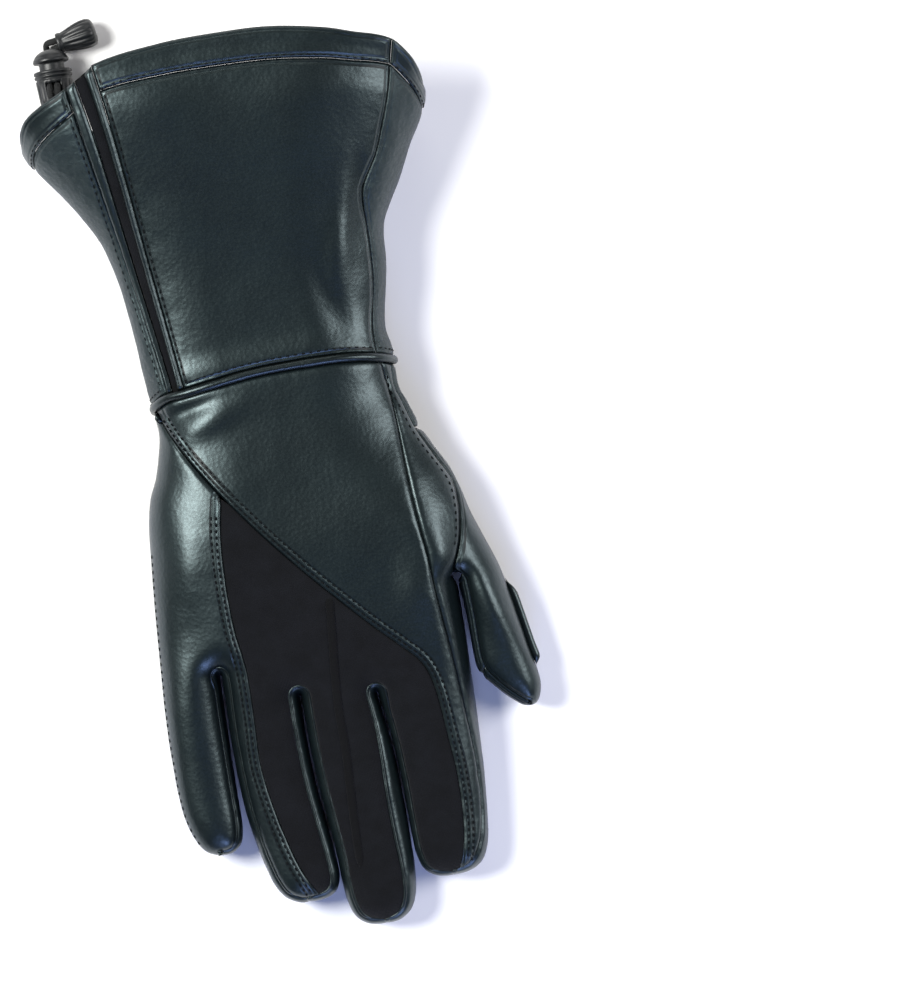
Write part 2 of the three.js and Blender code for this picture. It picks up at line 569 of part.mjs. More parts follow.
// The rolled welt round the wrist
function ring(name, material) {
  const sections = [];
  const left = leftEdge.at(leftEdge.nearest([-47, wristBack(-47)]));
  const right = rightEdge.at(rightEdge.nearest([46, wristBack(46)]));
  const spread = (n) => Array.from({ length: n - 1 }, (unused, i) => Math.cos((Math.PI * (i + 1)) / n));
  const rim = (p, inward) => sections.push(skin({ x: p[0], y: wristBack(p[0]), side: 0, inward }));
  const arc = (n, side, order) => {
    const cs = spread(n);
    (order < 0 ? cs : cs.reverse()).forEach((c) => {
      const x = lerp(left[0], right[0], (1 + c) / 2);
      sections.push(skin({ x, y: side > 0 ? wristBack(x) : wristPalm(x), side }));
    });
  };
  rim(left, [1, 0]);
  arc(13, 1, 1);
  rim(right, [-1, 0]);
  arc(13, -1, -1);
  const count = sections.length;
  const sides = 6;
  const positions = [];
  const index = [];
  const centre = sections.map((s) => {
    const place = new THREE.Vector3(...s.p);
    return place.addScaledVector(new THREE.Vector3(...s.n), -0.5);
  });
  sections.forEach((s, i) => {
    const n = new THREE.Vector3(...s.n).normalize();
    const ahead = centre[(i + 1) % count].clone().sub(centre[(i + count - 1) % count]).normalize();
    const sideways = new THREE.Vector3().crossVectors(ahead, n).normalize();
    for (let k = 0; k < sides; k += 1) {
      const a = (2 * Math.PI * k) / sides;
      const p = centre[i].clone().addScaledVector(n, Math.cos(a) * RING_RADIUS)
        .addScaledVector(sideways, Math.sin(a) * RING_RADIUS);
      positions.push(p.x, p.y, Math.max(0, p.z));
      const here = i * sides + k;
      const next = i * sides + ((k + 1) % sides);
      const far = ((i + 1) % count) * sides + k;
      const farNext = ((i + 1) % count) * sides + ((k + 1) % sides);
      index.push(here, next, farNext, here, farNext, far);
    }
  });
  const mesh = addMesh(name, material, positions, index);
  const volume = () => {
    let sum = 0;
    for (let i = 0; i < index.length; i += 3) {
      const [a, b, c] = [0, 1, 2].map((k) => new THREE.Vector3().fromArray(positions, index[i + k] * 3));
      sum += a.dot(b.cross(c));
    }
    return sum;
  };
  if (volume() < 0) mesh.geometry.setIndex([...index].reverse());
}
ring('wrist_welt', SMOOTH);

// Seams on the back of the hand, from the wrist down
const doubleSeam = trim(spline([[-46.4, -2], [-45.4, -6.5], [-40, -18], [-30, -34], [-20, -48], [-10, -61],
  [0, -73], [8, -82], [20, -95], [30, -105], [36, -111.2], [38.6, -116], [40.2, -122], [41.2, -130],
  [42, -140], [43.2, -155], [43, -170], [41.8, -180], [39.9, -188], [38.9, -191]]), handBack, null);
const fabricSeam = spline([[-26.4, -40.6], [-28.3, -50], [-29.4, -60], [-30, -75], [-29.6, -90],
  [-28.4, -100],
  [-28, -110], [-28.4, -125], [-29, -140], [-28, -150], [-25.2, -165], [-21.2, -180], [-16.8, -191],
  [-15.6, -193.4]]);
const indexSeam = trim(spline([[40.4, 3], [41.4, -4], [42.2, -10], [43, -20], [43.5, -45], [44.5, -60],
  [46, -75],
  [47, -90], [48.4, -105], [49.7, -120], [50.6, -135], [51.2, -150], [50.9, -165], [49.7, -175],
  [47.5, -182.4],
  [44.4, -187.4], [41, -190.4], [39.7, -191.2]]), handBack, null);
const thumbSeam = trim(spline([[44.6, 4], [44.2, -3], [44.2, -9], [46.6, -16.5], [49.4, -25.5],
  [53.2, -33.5],
  [57.4, -41], [60, -46.5], [60.9, -52], [60.8, -59], [59.6, -67], [56.8, -75.5], [54.9, -79.6],
  [54.6, -82.2]]), handBack, null);

// Insets of the fingers' back edges and palm edges along each slit
const upperInset = {
  little: (t) => table([[0, 1.7], [0.1, 1.6], [0.4, 1.7], [slitLittle.end, 2.6], [0.55, 2.6],
  [0.9, 2.4], [1, 1.8]])(t),
  ring: (t) => table([[0, 1.8], [0.1, 2.6], [slitRing.end, 3], [0.88, 2.8], [1, 1.8]])(t),
  middle: (t) => table([[0, 1.8], [0.08, 3.6], [0.3, 5.4], [slitMiddle.end - 0.06, 3.2],
  [slitMiddle.end, 2.8],
    [slitMiddle.end + 0.06, 1.8], [1, 1.7]])(t),
};
const lowerInset = {
  little: (t) => table([[0, 5], [0.12, 3.6], [0.5, 3.4], [0.9, 3.8], [1, 5]])(t),
  ring: (t) => table([[0, 5], [0.1, 2.6], [0.5, 2.4], [0.9, 2.8], [1, 5]])(t),
  middle: (t) => table([[0, 5], [0.1, 2.8], [0.5, 2.6], [0.9, 2.8], [1, 5]])(t),
};
const slits = { little: slitLittle, ring: slitRing, middle: slitMiddle };
const finger = {};
for (const [key, line] of Object.entries(slits)) {
  const top = line.inset((t) => upperInset[key](t) + G + TIP_SLACK * (fade(t / 0.08) + fade((1 - t) / 0.08)));
  const under = line.inset((t) => lowerInset[key](t) + G + UNDER_SLACK);
  finger[key] = {
    top, backNear: top.part(0, line.end).reversed(), backFar: top.part(line.end, 1),
    palmNear: under.part(0, line.end).reversed(), palmFar: under.part(line.end, 1),
  };
}
const tipAt = (a, b) => {
  const p = mix(a.at(1), b.at(1), 0.5);
  return [a.endingAt(p), b.endingAt(p)];
};

// Outer panel: back of the little finger and half of the ring finger, turned under the edge
const crotchLittle = finger.little.backNear.at(0);
const leftRoot = leftHand.nearest(place([-61, -103]));
const leftPalm = leftHand.part(0, leftRoot);
const leftFinger = leftHand.part(leftRoot, 1);
const underOuter = leftHand.inset((t) => OUTER_TURN + swell((t - 0.9) / 0.1));
const underOuterPalm = underOuter.inset(-G).part(0, leftRoot);
const underOuterFinger = underOuter.inset(-G).part(leftRoot, 1);
const fabricRoot = fabricSeam.nearest(place([-28.2, -103]));
const doubleFork = doubleSeam.nearest(place([-27.2, -38.4]));
const outerRight = doubleSeam.inset(-G).part(0, doubleFork).join(fabricSeam.inset(-G).part(0.01,
  fabricRoot));
const outerMiddle = spline([outerRight.at(0), ...[[-42.6, -20], [-40, -45],
  [-38.6, -80]].map(place), crotchLittle], true);
const ringSplit = slitRing.nearest(place([-15.4, -195]));
const ringBackLeft = finger.little.backFar.join(finger.ring.top.part(0, ringSplit * 0.9));
const [ringLeft, ringSeam] = tipAt(ringBackLeft, fabricSeam.inset(-G).part(fabricRoot, 1));
const palmRows = leftPalm.rows(30, 10);
const littleRows = merge(leftFinger.rows(20, 12), finger.little.backNear.rows(24, 20));
const ringRows = ringLeft.rows(20, 12);
const outerTops = [1, 0.93, 0.7, 0.42, 0.2];
const ringColumns = [0, 0.3, 1];
shell('outer_back_panel', SMOOTH, [
  wrap(palmRows, outerMiddle, leftPalm, underOuterPalm, { tops: outerTops, unders: [0.55, 1] }),
  band(palmRows, ringColumns, outerMiddle, outerRight),
  wrap(littleRows, finger.little.backNear, leftFinger, underOuterFinger,
  { tops: outerTops, unders: [0.55, 1] }),
  band(ringRows, ringColumns, ringLeft, ringSeam),
]);

// Stretch insert: half of the ring, the middle and half of the index finger
const apex = place([-25.5, -43.4]);
const crotchRing = finger.ring.backNear.at(0);
const crotchMiddle = finger.middle.backNear.at(0);
const fabricFork = fabricSeam.nearest(place([-28.2, -114]));
const doubleTurn = doubleSeam.nearest(place([38.3, -115.6]));
const insertLeft = new Line([apex, ...fabricSeam.inset(G).part(fabricSeam.nearest(place([-28, -49])),
  fabricFork).points]);
const insertRight = new Line([apex, ...doubleSeam.inset(-G).part(doubleSeam.nearest(place([-20, -48])),
  doubleTurn).points]);
const ray = (p, q) => (t) => mix(p, q, t);
const insertRows = insertRight.rows(40, 11);
const [ringRight, ringSeamRight] = tipAt(
  finger.ring.top.part(ringSplit, slitRing.end).reversed(),
  fabricSeam.inset(G).part(fabricFork, 1));
const [middleLeft, middleRight] = tipAt(finger.ring.backFar, finger.middle.backNear);
const indexSplit = slitThumb.nearest(place([38, -194]));
const [indexLeft, indexDouble] = tipAt(
  finger.middle.backFar.join(slitThumb.inset(1.8 + G + TIP_SLACK).part(0, indexSplit * 0.9)),
  doubleSeam.inset(-G).part(doubleTurn, 1));
const middleRows = merge(middleLeft.rows(20, 13), middleRight.rows(24, 20));
const indexRows = indexLeft.rows(20, 13);
const ringRightRows = ringRight.rows(20, 13);
const middleColumns = [0, 0.16, 0.5, 0.84, 1];
shell('stretch_insert', FABRIC_BLACK, [
  band(insertRows, [0, 0.7, 1], insertLeft, ray(apex, crotchRing)),
  band(insertRows, middleColumns, ray(apex, crotchRing), ray(apex, crotchMiddle)),
  band(insertRows, [0, 0.25, 1], ray(apex, crotchMiddle), insertRight),
  band(ringRightRows, [0, 0.7, 1], ringSeamRight, ringRight),
  band(middleRows, middleColumns, middleLeft, middleRight),
  band(indexRows, [0, 0.25, 1], indexLeft, indexDouble),
], { wall: STRETCH });

// Main back panel, from the wrist to the index fingertip
const [mainLeft, mainRight] = tipAt(doubleSeam.inset(G), indexSeam.inset(-G));
const mainTurn = mainLeft.nearest(place([38.8, -115.6]));
const mainRoot = mainRight.nearest(place([49.5, -115.6]));
shell('main_back_panel', SMOOTH, [
  band(steps(12), 5, mainLeft.part(0, mainTurn), mainRight.part(0, mainRoot), { head: handBack }),
  band(mainRight.part(mainRoot, 1).rows(24, 13), 5, mainLeft.part(mainTurn, 1), mainRight.part(mainRoot,
  1)),
]);

// Index side panel: beside the main panel, then down over the side of the index finger
const thumbFork = G * 0.7 / slitThumb.length;
const indexSide = slitThumb.part(0, slitThumb.end - thumbFork).reversed();
const thumbSide = slitThumb.part(slitThumb.end + thumbFork, 1);
const sideLine = indexSide.part(0, 1 - (G + 0.15) / indexSide.length)
  .inset(table([[0, 2.5], [0.12, 1.7], [0.3, 1.2], [0.8, 0.9], [1, 0.7]]));
const seamFork = indexSeam.nearest(place([46.4, -82]));
const thumbEdge = thumbSeam.inset(-G).endingAt(sideLine.at(0));
const sideRun = indexSide.part(0, 1 - (G + 0.15) / indexSide.length);
const sideEnd = indexSeam.inset(G).part(seamFork, 0.97)
  .join(slitThumb.inset(1.5 - G).part((G + 0.15) / slitThumb.length, indexSplit * 0.9).reversed());
shell('index_side_panel', SMOOTH, [
  band(steps(9), 2, indexSeam.inset(G).part(0, seamFork), thumbEdge, { head: handBack }),
  band(sideRun.rows(26, 12), 2, sideEnd, sideLine),
  wrap(sideRun.rows(26, 12), sideLine, sideRun,
  sideRun.inset((t) => INDEX_TURN - G + 1.6 * swell((t - 0.85) / 0.15)), {
    tops: [1, 0.5], unders: [0.55, 1],
  }),
]);

// Fourchettes between the fingers
for (const [name, key] of [['fourchette_little_ring', 'little'], ['fourchette_ring_middle', 'ring'],
  ['fourchette_middle_index', 'middle']]) {
  const line = slits[key];
  const end = (G + 0.15) / line.length;
  const run = line.part(end, 1 - end);
  const back = line.inset((t) => upperInset[key](t) - G).part(end, 1 - end);
  const palm = line.inset((t) => lowerInset[key](t) - G).part(end, 1 - end);
  shell(name, SMOOTH, [wrap(run.rows(26, 15), back, run, palm, { tops: [1, 0.5], unders: [0.55, 1] })],
    { wall: FOURCHETTE_WALL });
}

// Heel pad, in two halves either side of its inner seam
const padTop = [-40, -18.8];
const padFoot = [-35, -62.2];
const padLeft = spline([padTop, [-43.6, -24], [-45.2, -34], [-45, -46], [-42.8, -55.5],
  [-39.6, -60.6], padFoot]);
const padRight = spline([padTop, [-33, -16.5], [-25, -16.9], [-17.5, -21], [-14.4, -29], [-17.4, -38.5],
  [-23.4, -48],
  [-28.6, -57.6], [-31.4, -61], padFoot]);
const inPad = (line, d) => line.inset(d).part(0.02, 0.98);
const padCore = spline([[-39.6, -20.4], [-36.4, -38], [-34.6, -60]]);
const padRows = steps(7);
{
  const [a, b] = tipAt(inPad(padLeft, G), padCore.inset(-G));
  const [c, d] = tipAt(inPad(padRight, -G), padCore.inset(G));
  shell('heel_pad_outer', SMOOTH, [band(padRows, 2, a, b, { side: -1 })]);
  shell('heel_pad_inner', SMOOTH, [band(padRows, 2, d, c, { side: -1 })]);
}

// Palm panel, with its hole for the heel pad and its bay for the thumb
const gusset = spline([[37, -16.6], [28, -18], [20.3, -24.5], [13.5, -37], [11.7, -52.5], [12, -60],
  [13.7, -70.7],
  [18, -84.4], [23, -91.5], [29.6, -97.4]]);
const wedge = spline([[41, -81.2], [34.8, -84.4], [30.9, -90.6], [29.8, -97]]);
const palmLeftLine = leftHand.inset((t) => OUTER_TURN + G + UNDER_SLACK + swell((t - 0.9) / 0.1));
const palmTurn = [-38.7, -85];
const crotchUnder = [finger.little.palmNear.at(0), finger.ring.palmNear.at(0),
  finger.middle.palmNear.at(0)];
const shareAt = (line, p) => line.nearest(place(p));
const palmLeftAt = (v0, v1) => palmLeftLine.part(v0, v1);
const pl = [0, shareAt(leftHand, [-47.6, -18.8]), shareAt(leftHand, [-57.4, -57]), shareAt(leftHand,
  [-59.8, -85]), leftRoot];
const gu = [0, shareAt(gusset, [12, -60]), 1];
const gussetPalm = gusset.inset(-G);
const start = (x) => [x, handPalm(x)];
const core = spline([start(0), place([0, -18]), place([-2, -60]), place([-7, -94]), crotchUnder[1]], true);
const co = [0, shareAt(core, [0, -18]), shareAt(core, [-2, -60]), shareAt(core, [-7, -94]), 1];
const rowsA = steps(2);
const rowsB = steps(7);
const rowsC = steps(4);
const rowsD = steps(2);
const under = { side: -1 };
const underHead = { side: -1, head: handPalm };
const padOut = padLeft.inset(-G);
const padIn = padRight.inset(G);
const padHead = mix(padOut.at(0), padIn.at(0), 0.5);
const padToe = mix(padOut.at(1), padIn.at(1), 0.5);
const closed = (line, a, b) => new Line([a, ...line.points.slice(1, -1), b], line.sign);
const padOuter = closed(padOut, padHead, padToe);
const padInner = closed(padIn, padHead, padToe);
const g0 = gussetPalm.at(0);
const g1 = mix(gussetPalm.at(1), wedge.inset(G).at(1), 0.5);
g1[1] -= 0.6;
const gussetDown = closed(gussetPalm, g0, g1);
const wedgeDown = closed(wedge.inset(G), wedge.inset(G).at(0), g1);
const indexUnder = indexSide.inset((t) => INDEX_TURN + G + UNDER_SLACK + 1.6 * swell((t - 0.85) / 0.15));
const indexStart = 1.6 / indexSide.length;
const indexRoot = shareAt(indexSide, [54.6, -119.5]);
const toMiddle = (t) => mix(g1, crotchUnder[2], t);
const palmRightTop = thumbSeam.inset(G).part(0, thumbSeam.nearest(place([49.1, -25])));
const palmRightEdge = rightHand.part(0, rightHand.nearest(place([50.6, -25])));
const fingerBase = {
  little: { left: palmLeftLine.part(leftRoot, 1), right: finger.little.palmNear },
  ring: { left: finger.little.palmFar, right: finger.ring.palmNear },
  middle: { left: finger.ring.palmFar, right: finger.middle.palmNear },
  index: { left: finger.middle.palmFar, right: indexUnder.part(indexRoot, 1) },
};
for (const pair of Object.values(fingerBase)) [pair.left, pair.right] = tipAt(pair.left, pair.right);
const ringStart = fingerBase.ring.left.nearest(place([-34.6, -114.6]));
const ringFull = fingerBase.ring.left;
fingerBase.ring.left = ringFull.part(ringStart, 1);
// Shares along each finger's palm where the rib-knit band begins and ends
const RIBS = { little: [0.15, 0.345], ring: [0.33, 0.52], middle: [0.235, 0.42], index: [0.3, 0.505] };
const fingerColumns = { little: 2, ring: 3, middle: 4, index: 3 };
const ribGap = (pair) => G / pair.left.length;
const partRows = (key, a, b) => {
  const pair = fingerBase[key];
  return between(merge(pair.left.rows(28, 14), pair.right.rows(28, 14)), a, b);
};
const fingerPalm = (key, a, b) => {
  const pair = fingerBase[key];
  return band(partRows(key, a, b), fingerColumns[key], pair.left, pair.right, under);
};
shell('palm_panel', GRAINED, [
  band(rowsA, 2, palmLeftAt(pl[0], pl[1]), (t) => mix(start(-37), padHead, t), underHead),
  band(rowsB, 2, palmLeftAt(pl[1], pl[2]), padOuter, under),
  band(rowsC, 2, palmLeftAt(pl[2], pl[3]), (t) => mix(padToe, place(palmTurn), t), under),
  band(rowsD, 2, palmLeftAt(pl[3], pl[4]), (t) => mix(place(palmTurn), crotchUnder[0], t), under),
  band(rowsA, 3, (t) => mix(start(-37), padHead, t), core.part(co[0], co[1]), underHead),
  band(rowsB, 3, padInner, core.part(co[1], co[2]), under),
  band(rowsC, 3, (t) => mix(padToe, place(palmTurn), t), core.part(co[2], co[3]), under),
  band(rowsD, 3, (t) => mix(place(palmTurn), crotchUnder[0], t), core.part(co[3], co[4]), under),
  band(rowsA, 4, core.part(co[0], co[1]), (t) => mix(start(36.6), g0, t), underHead),
  band(rowsB, 4, core.part(co[1], co[2]), gussetDown.part(gu[0], gu[1]), under),
  band(rowsC, 4, core.part(co[2], co[3]), gussetDown.part(gu[1], gu[2]), under),
  band(rowsD, 4, core.part(co[3], co[4]), toMiddle, under),
  wrap(rowsA, palmRightTop, palmRightEdge, (t) => mix(start(36.6), g0, t), {
    tops: [1, 0.5], unders: [0.4, 0.75, 1], head: handBack, headUnder: handPalm,
  }),
  band([0, 0.5, 1], 3, wedgeDown, indexUnder.part(indexStart, indexRoot * 0.62), under),
  band(rowsD, 3, toMiddle, indexUnder.part(indexRoot * 0.62, indexRoot), under),
  band([0, 0.1, 0.22, 0.36, 0.6, 1], 3, ringFull.part(0, ringStart), () => crotchUnder[1], under),
  ...Object.keys(fingerBase).map((key) => fingerPalm(key, 0, RIBS[key][0] - ribGap(fingerBase[key]))),
]);
for (const key of Object.keys(fingerBase)) {
  const g = ribGap(fingerBase[key]);
  shell(`rib_band_${key}`, RIB_BLACK, [fingerPalm(key, RIBS[key][0] + g, RIBS[key][1] - g)],
    { wall: RIB_KNIT, raise: -0.3 });
  shell(`tip_pad_${key}`, SMOOTH, [fingerPalm(key, RIBS[key][1] + g, 1)]);
}

// Thumb: back piece from the thumb seam over the outer edge, palm piece with the ball, tip piece
const centreSeam = spline([[38.4, -17.8], [42, -32], [47, -44], [56, -62.5], [62.4, -80], [68, -99],
  [71.6, -114],
  [74.2, -126], [74.9, -131.6]]);
const thumbStart = rightHand.nearest(place([51, -26]));
const thumbOuter = rightHand.part(thumbStart, 1);
const thumbUpper = thumbSeam.inset(G).part(thumbSeam.nearest(place([49.6, -26])), 0.985)
  .join(thumbSide.inset((t) => lerp(2.9, 2, t)).part(0.02, 1));
const thumbBackUnder = centreSeam.inset(G);
const thumbRows = thumbOuter.rows(20, 11);
const tipEnd = 1 - G / thumbOuter.length;
shell('thumb_back', SMOOTH, [
  wrap(between(thumbRows, 0, tipEnd), thumbUpper, thumbOuter, thumbBackUnder, {
    tops: [1, 0.72, 0.46, 0.2], unders: [0.35, 0.7, 1],
  }),
]);
const gussetThumb = gusset.inset(G);
const ballEnd = shareAt(gusset, [18, -84.4]);
const ballTop = place([37.6, -18]);
const wedgeTop = place([40.6, -80.6]);
const crotchThumb = thumbSide.inset(3.2).at(0);
const centreFork = shareAt(centreSeam, [62.6, -81]);
const thumbCentre = centreSeam.inset(-G);
const thumbUnder = thumbSide.inset((t) => lerp(3.2, 4.6, swell((t - 0.85) / 0.15)));
const CROSS_SEAM = 0.62;     // share along the thumb's side where the tip piece begins
const crossGap = SEAM_GAP / thumbSide.length;
const ballRows = steps(7);
const ballLine = spline([ballTop, place([38.6, -32]), place([42, -50]), place([49, -70]), crotchThumb],
  true);
const thumbSideRows = thumbSide.rows(26, 10);
const thumbTube = (a, b) => {
  const us = between(thumbSideRows, a, b);
  return [
    wrap(us, thumbSide.inset((t) => lerp(2.9, 2, t) - SEAM_GAP), thumbSide, thumbUnder,
    { tops: [1, 0.5], unders: [0.5, 1] }),
    band(us, 2, thumbUnder, (t) => thumbCentre.part(centreFork, 0.99).at(t), under),
  ];
};
shell('thumb_palm', GRAINED, [
  band(ballRows, 3, gussetThumb.part(0.02, ballEnd), ray(ballTop, wedgeTop), under),
  band(ballRows, 1, ray(ballTop, wedgeTop), ballLine, under),
  band(ballRows, 2, ballLine, thumbCentre.part(0.02, centreFork), under),
  band(steps(2), 3, gussetThumb.part(ballEnd, 0.99), (t) => mix(wedge.inset(-G).at(t), wedgeTop,
  fade(t * 2)), under),
  ...thumbTube(0, CROSS_SEAM),
]);
shell('thumb_tip', SMOOTH, thumbTube(CROSS_SEAM + crossGap, 1 - G / thumbSide.length));

// Closes a row of sections into one solid, with a flat cap at each end
function loft(name, material, sections) {
  const sides = sections[0].length;
  const last = (sections.length - 1) * sides;
  const index = [];
  for (let i = 0; i + 1 < sections.length; i += 1) {
    for (let k = 0; k < sides; k += 1) {
      const a = i * sides + k;
      const b = i * sides + ((k + 1) % sides);
      index.push(a, b, b + sides, a, b + sides, a + sides);
    }
  }
  for (let k = 1; k + 1 < sides; k += 1) index.push(0, k + 1, k, last, last + k, last + k + 1);
  return addMesh(name, material, sections.flat(2), index);
}
// The wiper blade along the outer edge of the thumb
const wiperFrom = rightEdge.nearest(place([72.6, -86]));
const wiperTo = rightEdge.nearest(place([79.3, -121.8]));
loft('thumb_wiper', SMOOTH, steps(7).map((s) => {
  const t = lerp(wiperFrom, wiperTo, s);
  const [x, y] = rightEdge.at(t);
  const [nx, ny] = rightEdge.normal(t);
  const z = halfAt(x, y) + 1;
  const reach = RING_GAP + WIPER_REACH * (0.25 + 0.75 * swell(s * 5));
  const near = RING_GAP + 0.2;
  const corner = (out, up) => [x - nx * out, y - ny * out, z + up * WIPER_WIDTH / 2];
  return [corner(reach, -0.8), corner(reach, 0.8), corner(near, 1), corner(near, -1)];
}));

// Solids cut with one another
const wasm = await Module();
wasm.setup();
function solid(geometry) {
  const bare = geometry.clone();
  bare.deleteAttribute('normal');
  bare.deleteAttribute('uv');
  const merged = mergeVertices(bare, 1e-4);
  return new wasm.Manifold(new wasm.Mesh({
    numProp: 3,
    vertProperties: new Float32Array(merged.attributes.position.array),
    triVerts: new Uint32Array(merged.index.array),
  }));
}
function cordPiece(name, material, cut) {
  const { vertProperties, triVerts } = cut.getMesh();
  cordNodes.add(name);
  return addMesh(name, material, Array.from(vertProperties), Array.from(triVerts));
}
function box(x, y, z, x0, y0, z0) {
  const geometry = new THREE.BoxGeometry(x[1] - x[0], y[1] - y[0], z[1] - z[0]);
  return geometry.translate((x[0] + x[1]) / 2 + x0, (y[0] + y[1]) / 2 + y0, (z[0] + z[1]) / 2 + z0);
}
const turned = (profile, sides) => new THREE.LatheGeometry(profile.map(([r, y]) => new THREE.Vector2(r,
  y)), sides);

// Cord lock: barrel along Y, cord slot through it along Z, button on a stem in its bore
const cordRadius = CORD_DIAMETER / 2;
const [lockX, lockY] = place([-64, 116.6]);
const lockZ = CORD_DIAMETER + 3 * CORD_GAP / 2 + LOCK_RADIUS;
const boreRadius = STEM_RADIUS + STEM_CLEARANCE;
const floorEnd = 1.5;
const slotHalf = cordRadius + CORD_GAP;
const slotWide = CORD_DIAMETER + CORD_GAP * 1.5 + 0.1;
const stemEnd = floorEnd + BUTTON_TRAVEL + BUTTON_STOP;
const slotAt = stemEnd + 1.4 + slotHalf;
const domeBase = LOCK_LENGTH + 1.6 + BUTTON_TRAVEL + BUTTON_STOP;
const barrelEnd = LOCK_LENGTH + 1.6;
const barrelProfile = [[0, 0], [LOCK_RADIUS - 1, 0], [LOCK_RADIUS - 0.7, 1],
  [LOCK_RADIUS - 0.2, barrelEnd - 3],
  [LOCK_RADIUS - 0.6, barrelEnd - 2.6], [LOCK_RADIUS, barrelEnd - 2], [LOCK_RADIUS, barrelEnd - 0.4],
  [LOCK_RADIUS - 0.5, barrelEnd], [boreRadius, barrelEnd], [boreRadius, floorEnd], [0, floorEnd]];
const barrel = turned(barrelProfile, 20).translate(lockX, lockY, lockZ);
const flare = 2.4;
const throughWall = boreRadius + 0.2;
const barrelSolid = solid(barrel)
  .subtract(solid(box([-slotWide, slotWide], [-slotHalf, slotHalf],
    [-LOCK_RADIUS * 2, LOCK_RADIUS * 2], lockX, lockY + slotAt, lockZ)))
  .subtract(solid(box([-slotWide, slotWide], [-slotHalf, slotHalf + flare],
    [-LOCK_RADIUS * 2, -throughWall + 1.2], lockX, lockY + slotAt, lockZ)))
  .subtract(solid(box([-slotWide, slotWide], [-slotHalf - flare, slotHalf],
    [throughWall - 1.2, LOCK_RADIUS * 2], lockX, lockY + slotAt, lockZ)));
cordPiece('cord_lock_barrel', PLASTIC, barrelSolid);
const buttonProfile = [[0, stemEnd], [STEM_RADIUS - 0.5, stemEnd], [STEM_RADIUS, stemEnd + 0.5],
  [STEM_RADIUS, domeBase],
  [BUTTON_RADIUS - 0.2, domeBase], [BUTTON_RADIUS, domeBase + 0.7], [BUTTON_RADIUS - 0.5, domeBase + 2.1],
  [BUTTON_RADIUS - 2.1, domeBase + 3.8], [BUTTON_RADIUS - 4.3, domeBase + 4.8], [0, domeBase + 5.1]];
const buttonSolid = solid(turned(buttonProfile, 20).translate(lockX, lockY, lockZ))
  .subtract(solid(box([-slotWide, slotWide], [-slotHalf, slotHalf + BUTTON_TRAVEL],
    [-LOCK_RADIUS * 2, LOCK_RADIUS * 2], lockX, lockY + slotAt, lockZ)));
cordPiece('cord_lock_button', PLASTIC, buttonSolid);

// Bell-shaped cord end, lying on its side past the button
const BELL_TURN = 10;        // degrees from the X axis
const bellZ = BELL_RADIUS + 0.35;
const [bellX, bellY] = [lockX + 3.4, lockY + domeBase + 7.3];
const bellBore = CORD_DIAMETER + CORD_GAP * 1.5;
const bellProfile = [[bellBore, 0], [bellBore + 0.9, 0], [bellBore + 1.1, 1.2],
  [BELL_RADIUS - 0.7, BELL_LENGTH * 0.5],
  [BELL_RADIUS, BELL_LENGTH * 0.78], [BELL_RADIUS - 0.5, BELL_LENGTH * 0.94],
  [BELL_RADIUS - 2, BELL_LENGTH],
  [0, BELL_LENGTH], [0, 6], [bellBore, 6], [bellBore, 0]];
const bell = turned(bellProfile, 16).rotateZ(-Math.PI / 2).rotateZ((BELL_TURN * Math.PI) / 180)
  .translate(bellX, bellY, bellZ);
cordPiece('cord_end', PLASTIC, solid(bell));

// Leather tab inside the mouth that holds the two strands
const TAB_SIZE = [9, 6, 4.6];
const TAB_GAP = 0.9;
const tabSkin = skin({ x: place([-60.4, 92])[0], y: place([0, 92])[1], side: -1 });
const tabUp = new THREE.Vector3(...tabSkin.n).negate();
const tabCentre = new THREE.Vector3(...tabSkin.p).addScaledVector(tabUp,
  HEM_WALL + TAB_GAP + TAB_SIZE[2] / 2);
const [tabX, tabY, tabZ] = tabCentre.toArray();
const tabMesh = new THREE.Mesh(new THREE.BoxGeometry(...TAB_SIZE), GRAINED);
tabMesh.quaternion.setFromUnitVectors(new THREE.Vector3(0, 0, 1), tabUp);
tabMesh.position.copy(tabCentre);
tabMesh.name = 'cord_tab';
group.add(tabMesh);

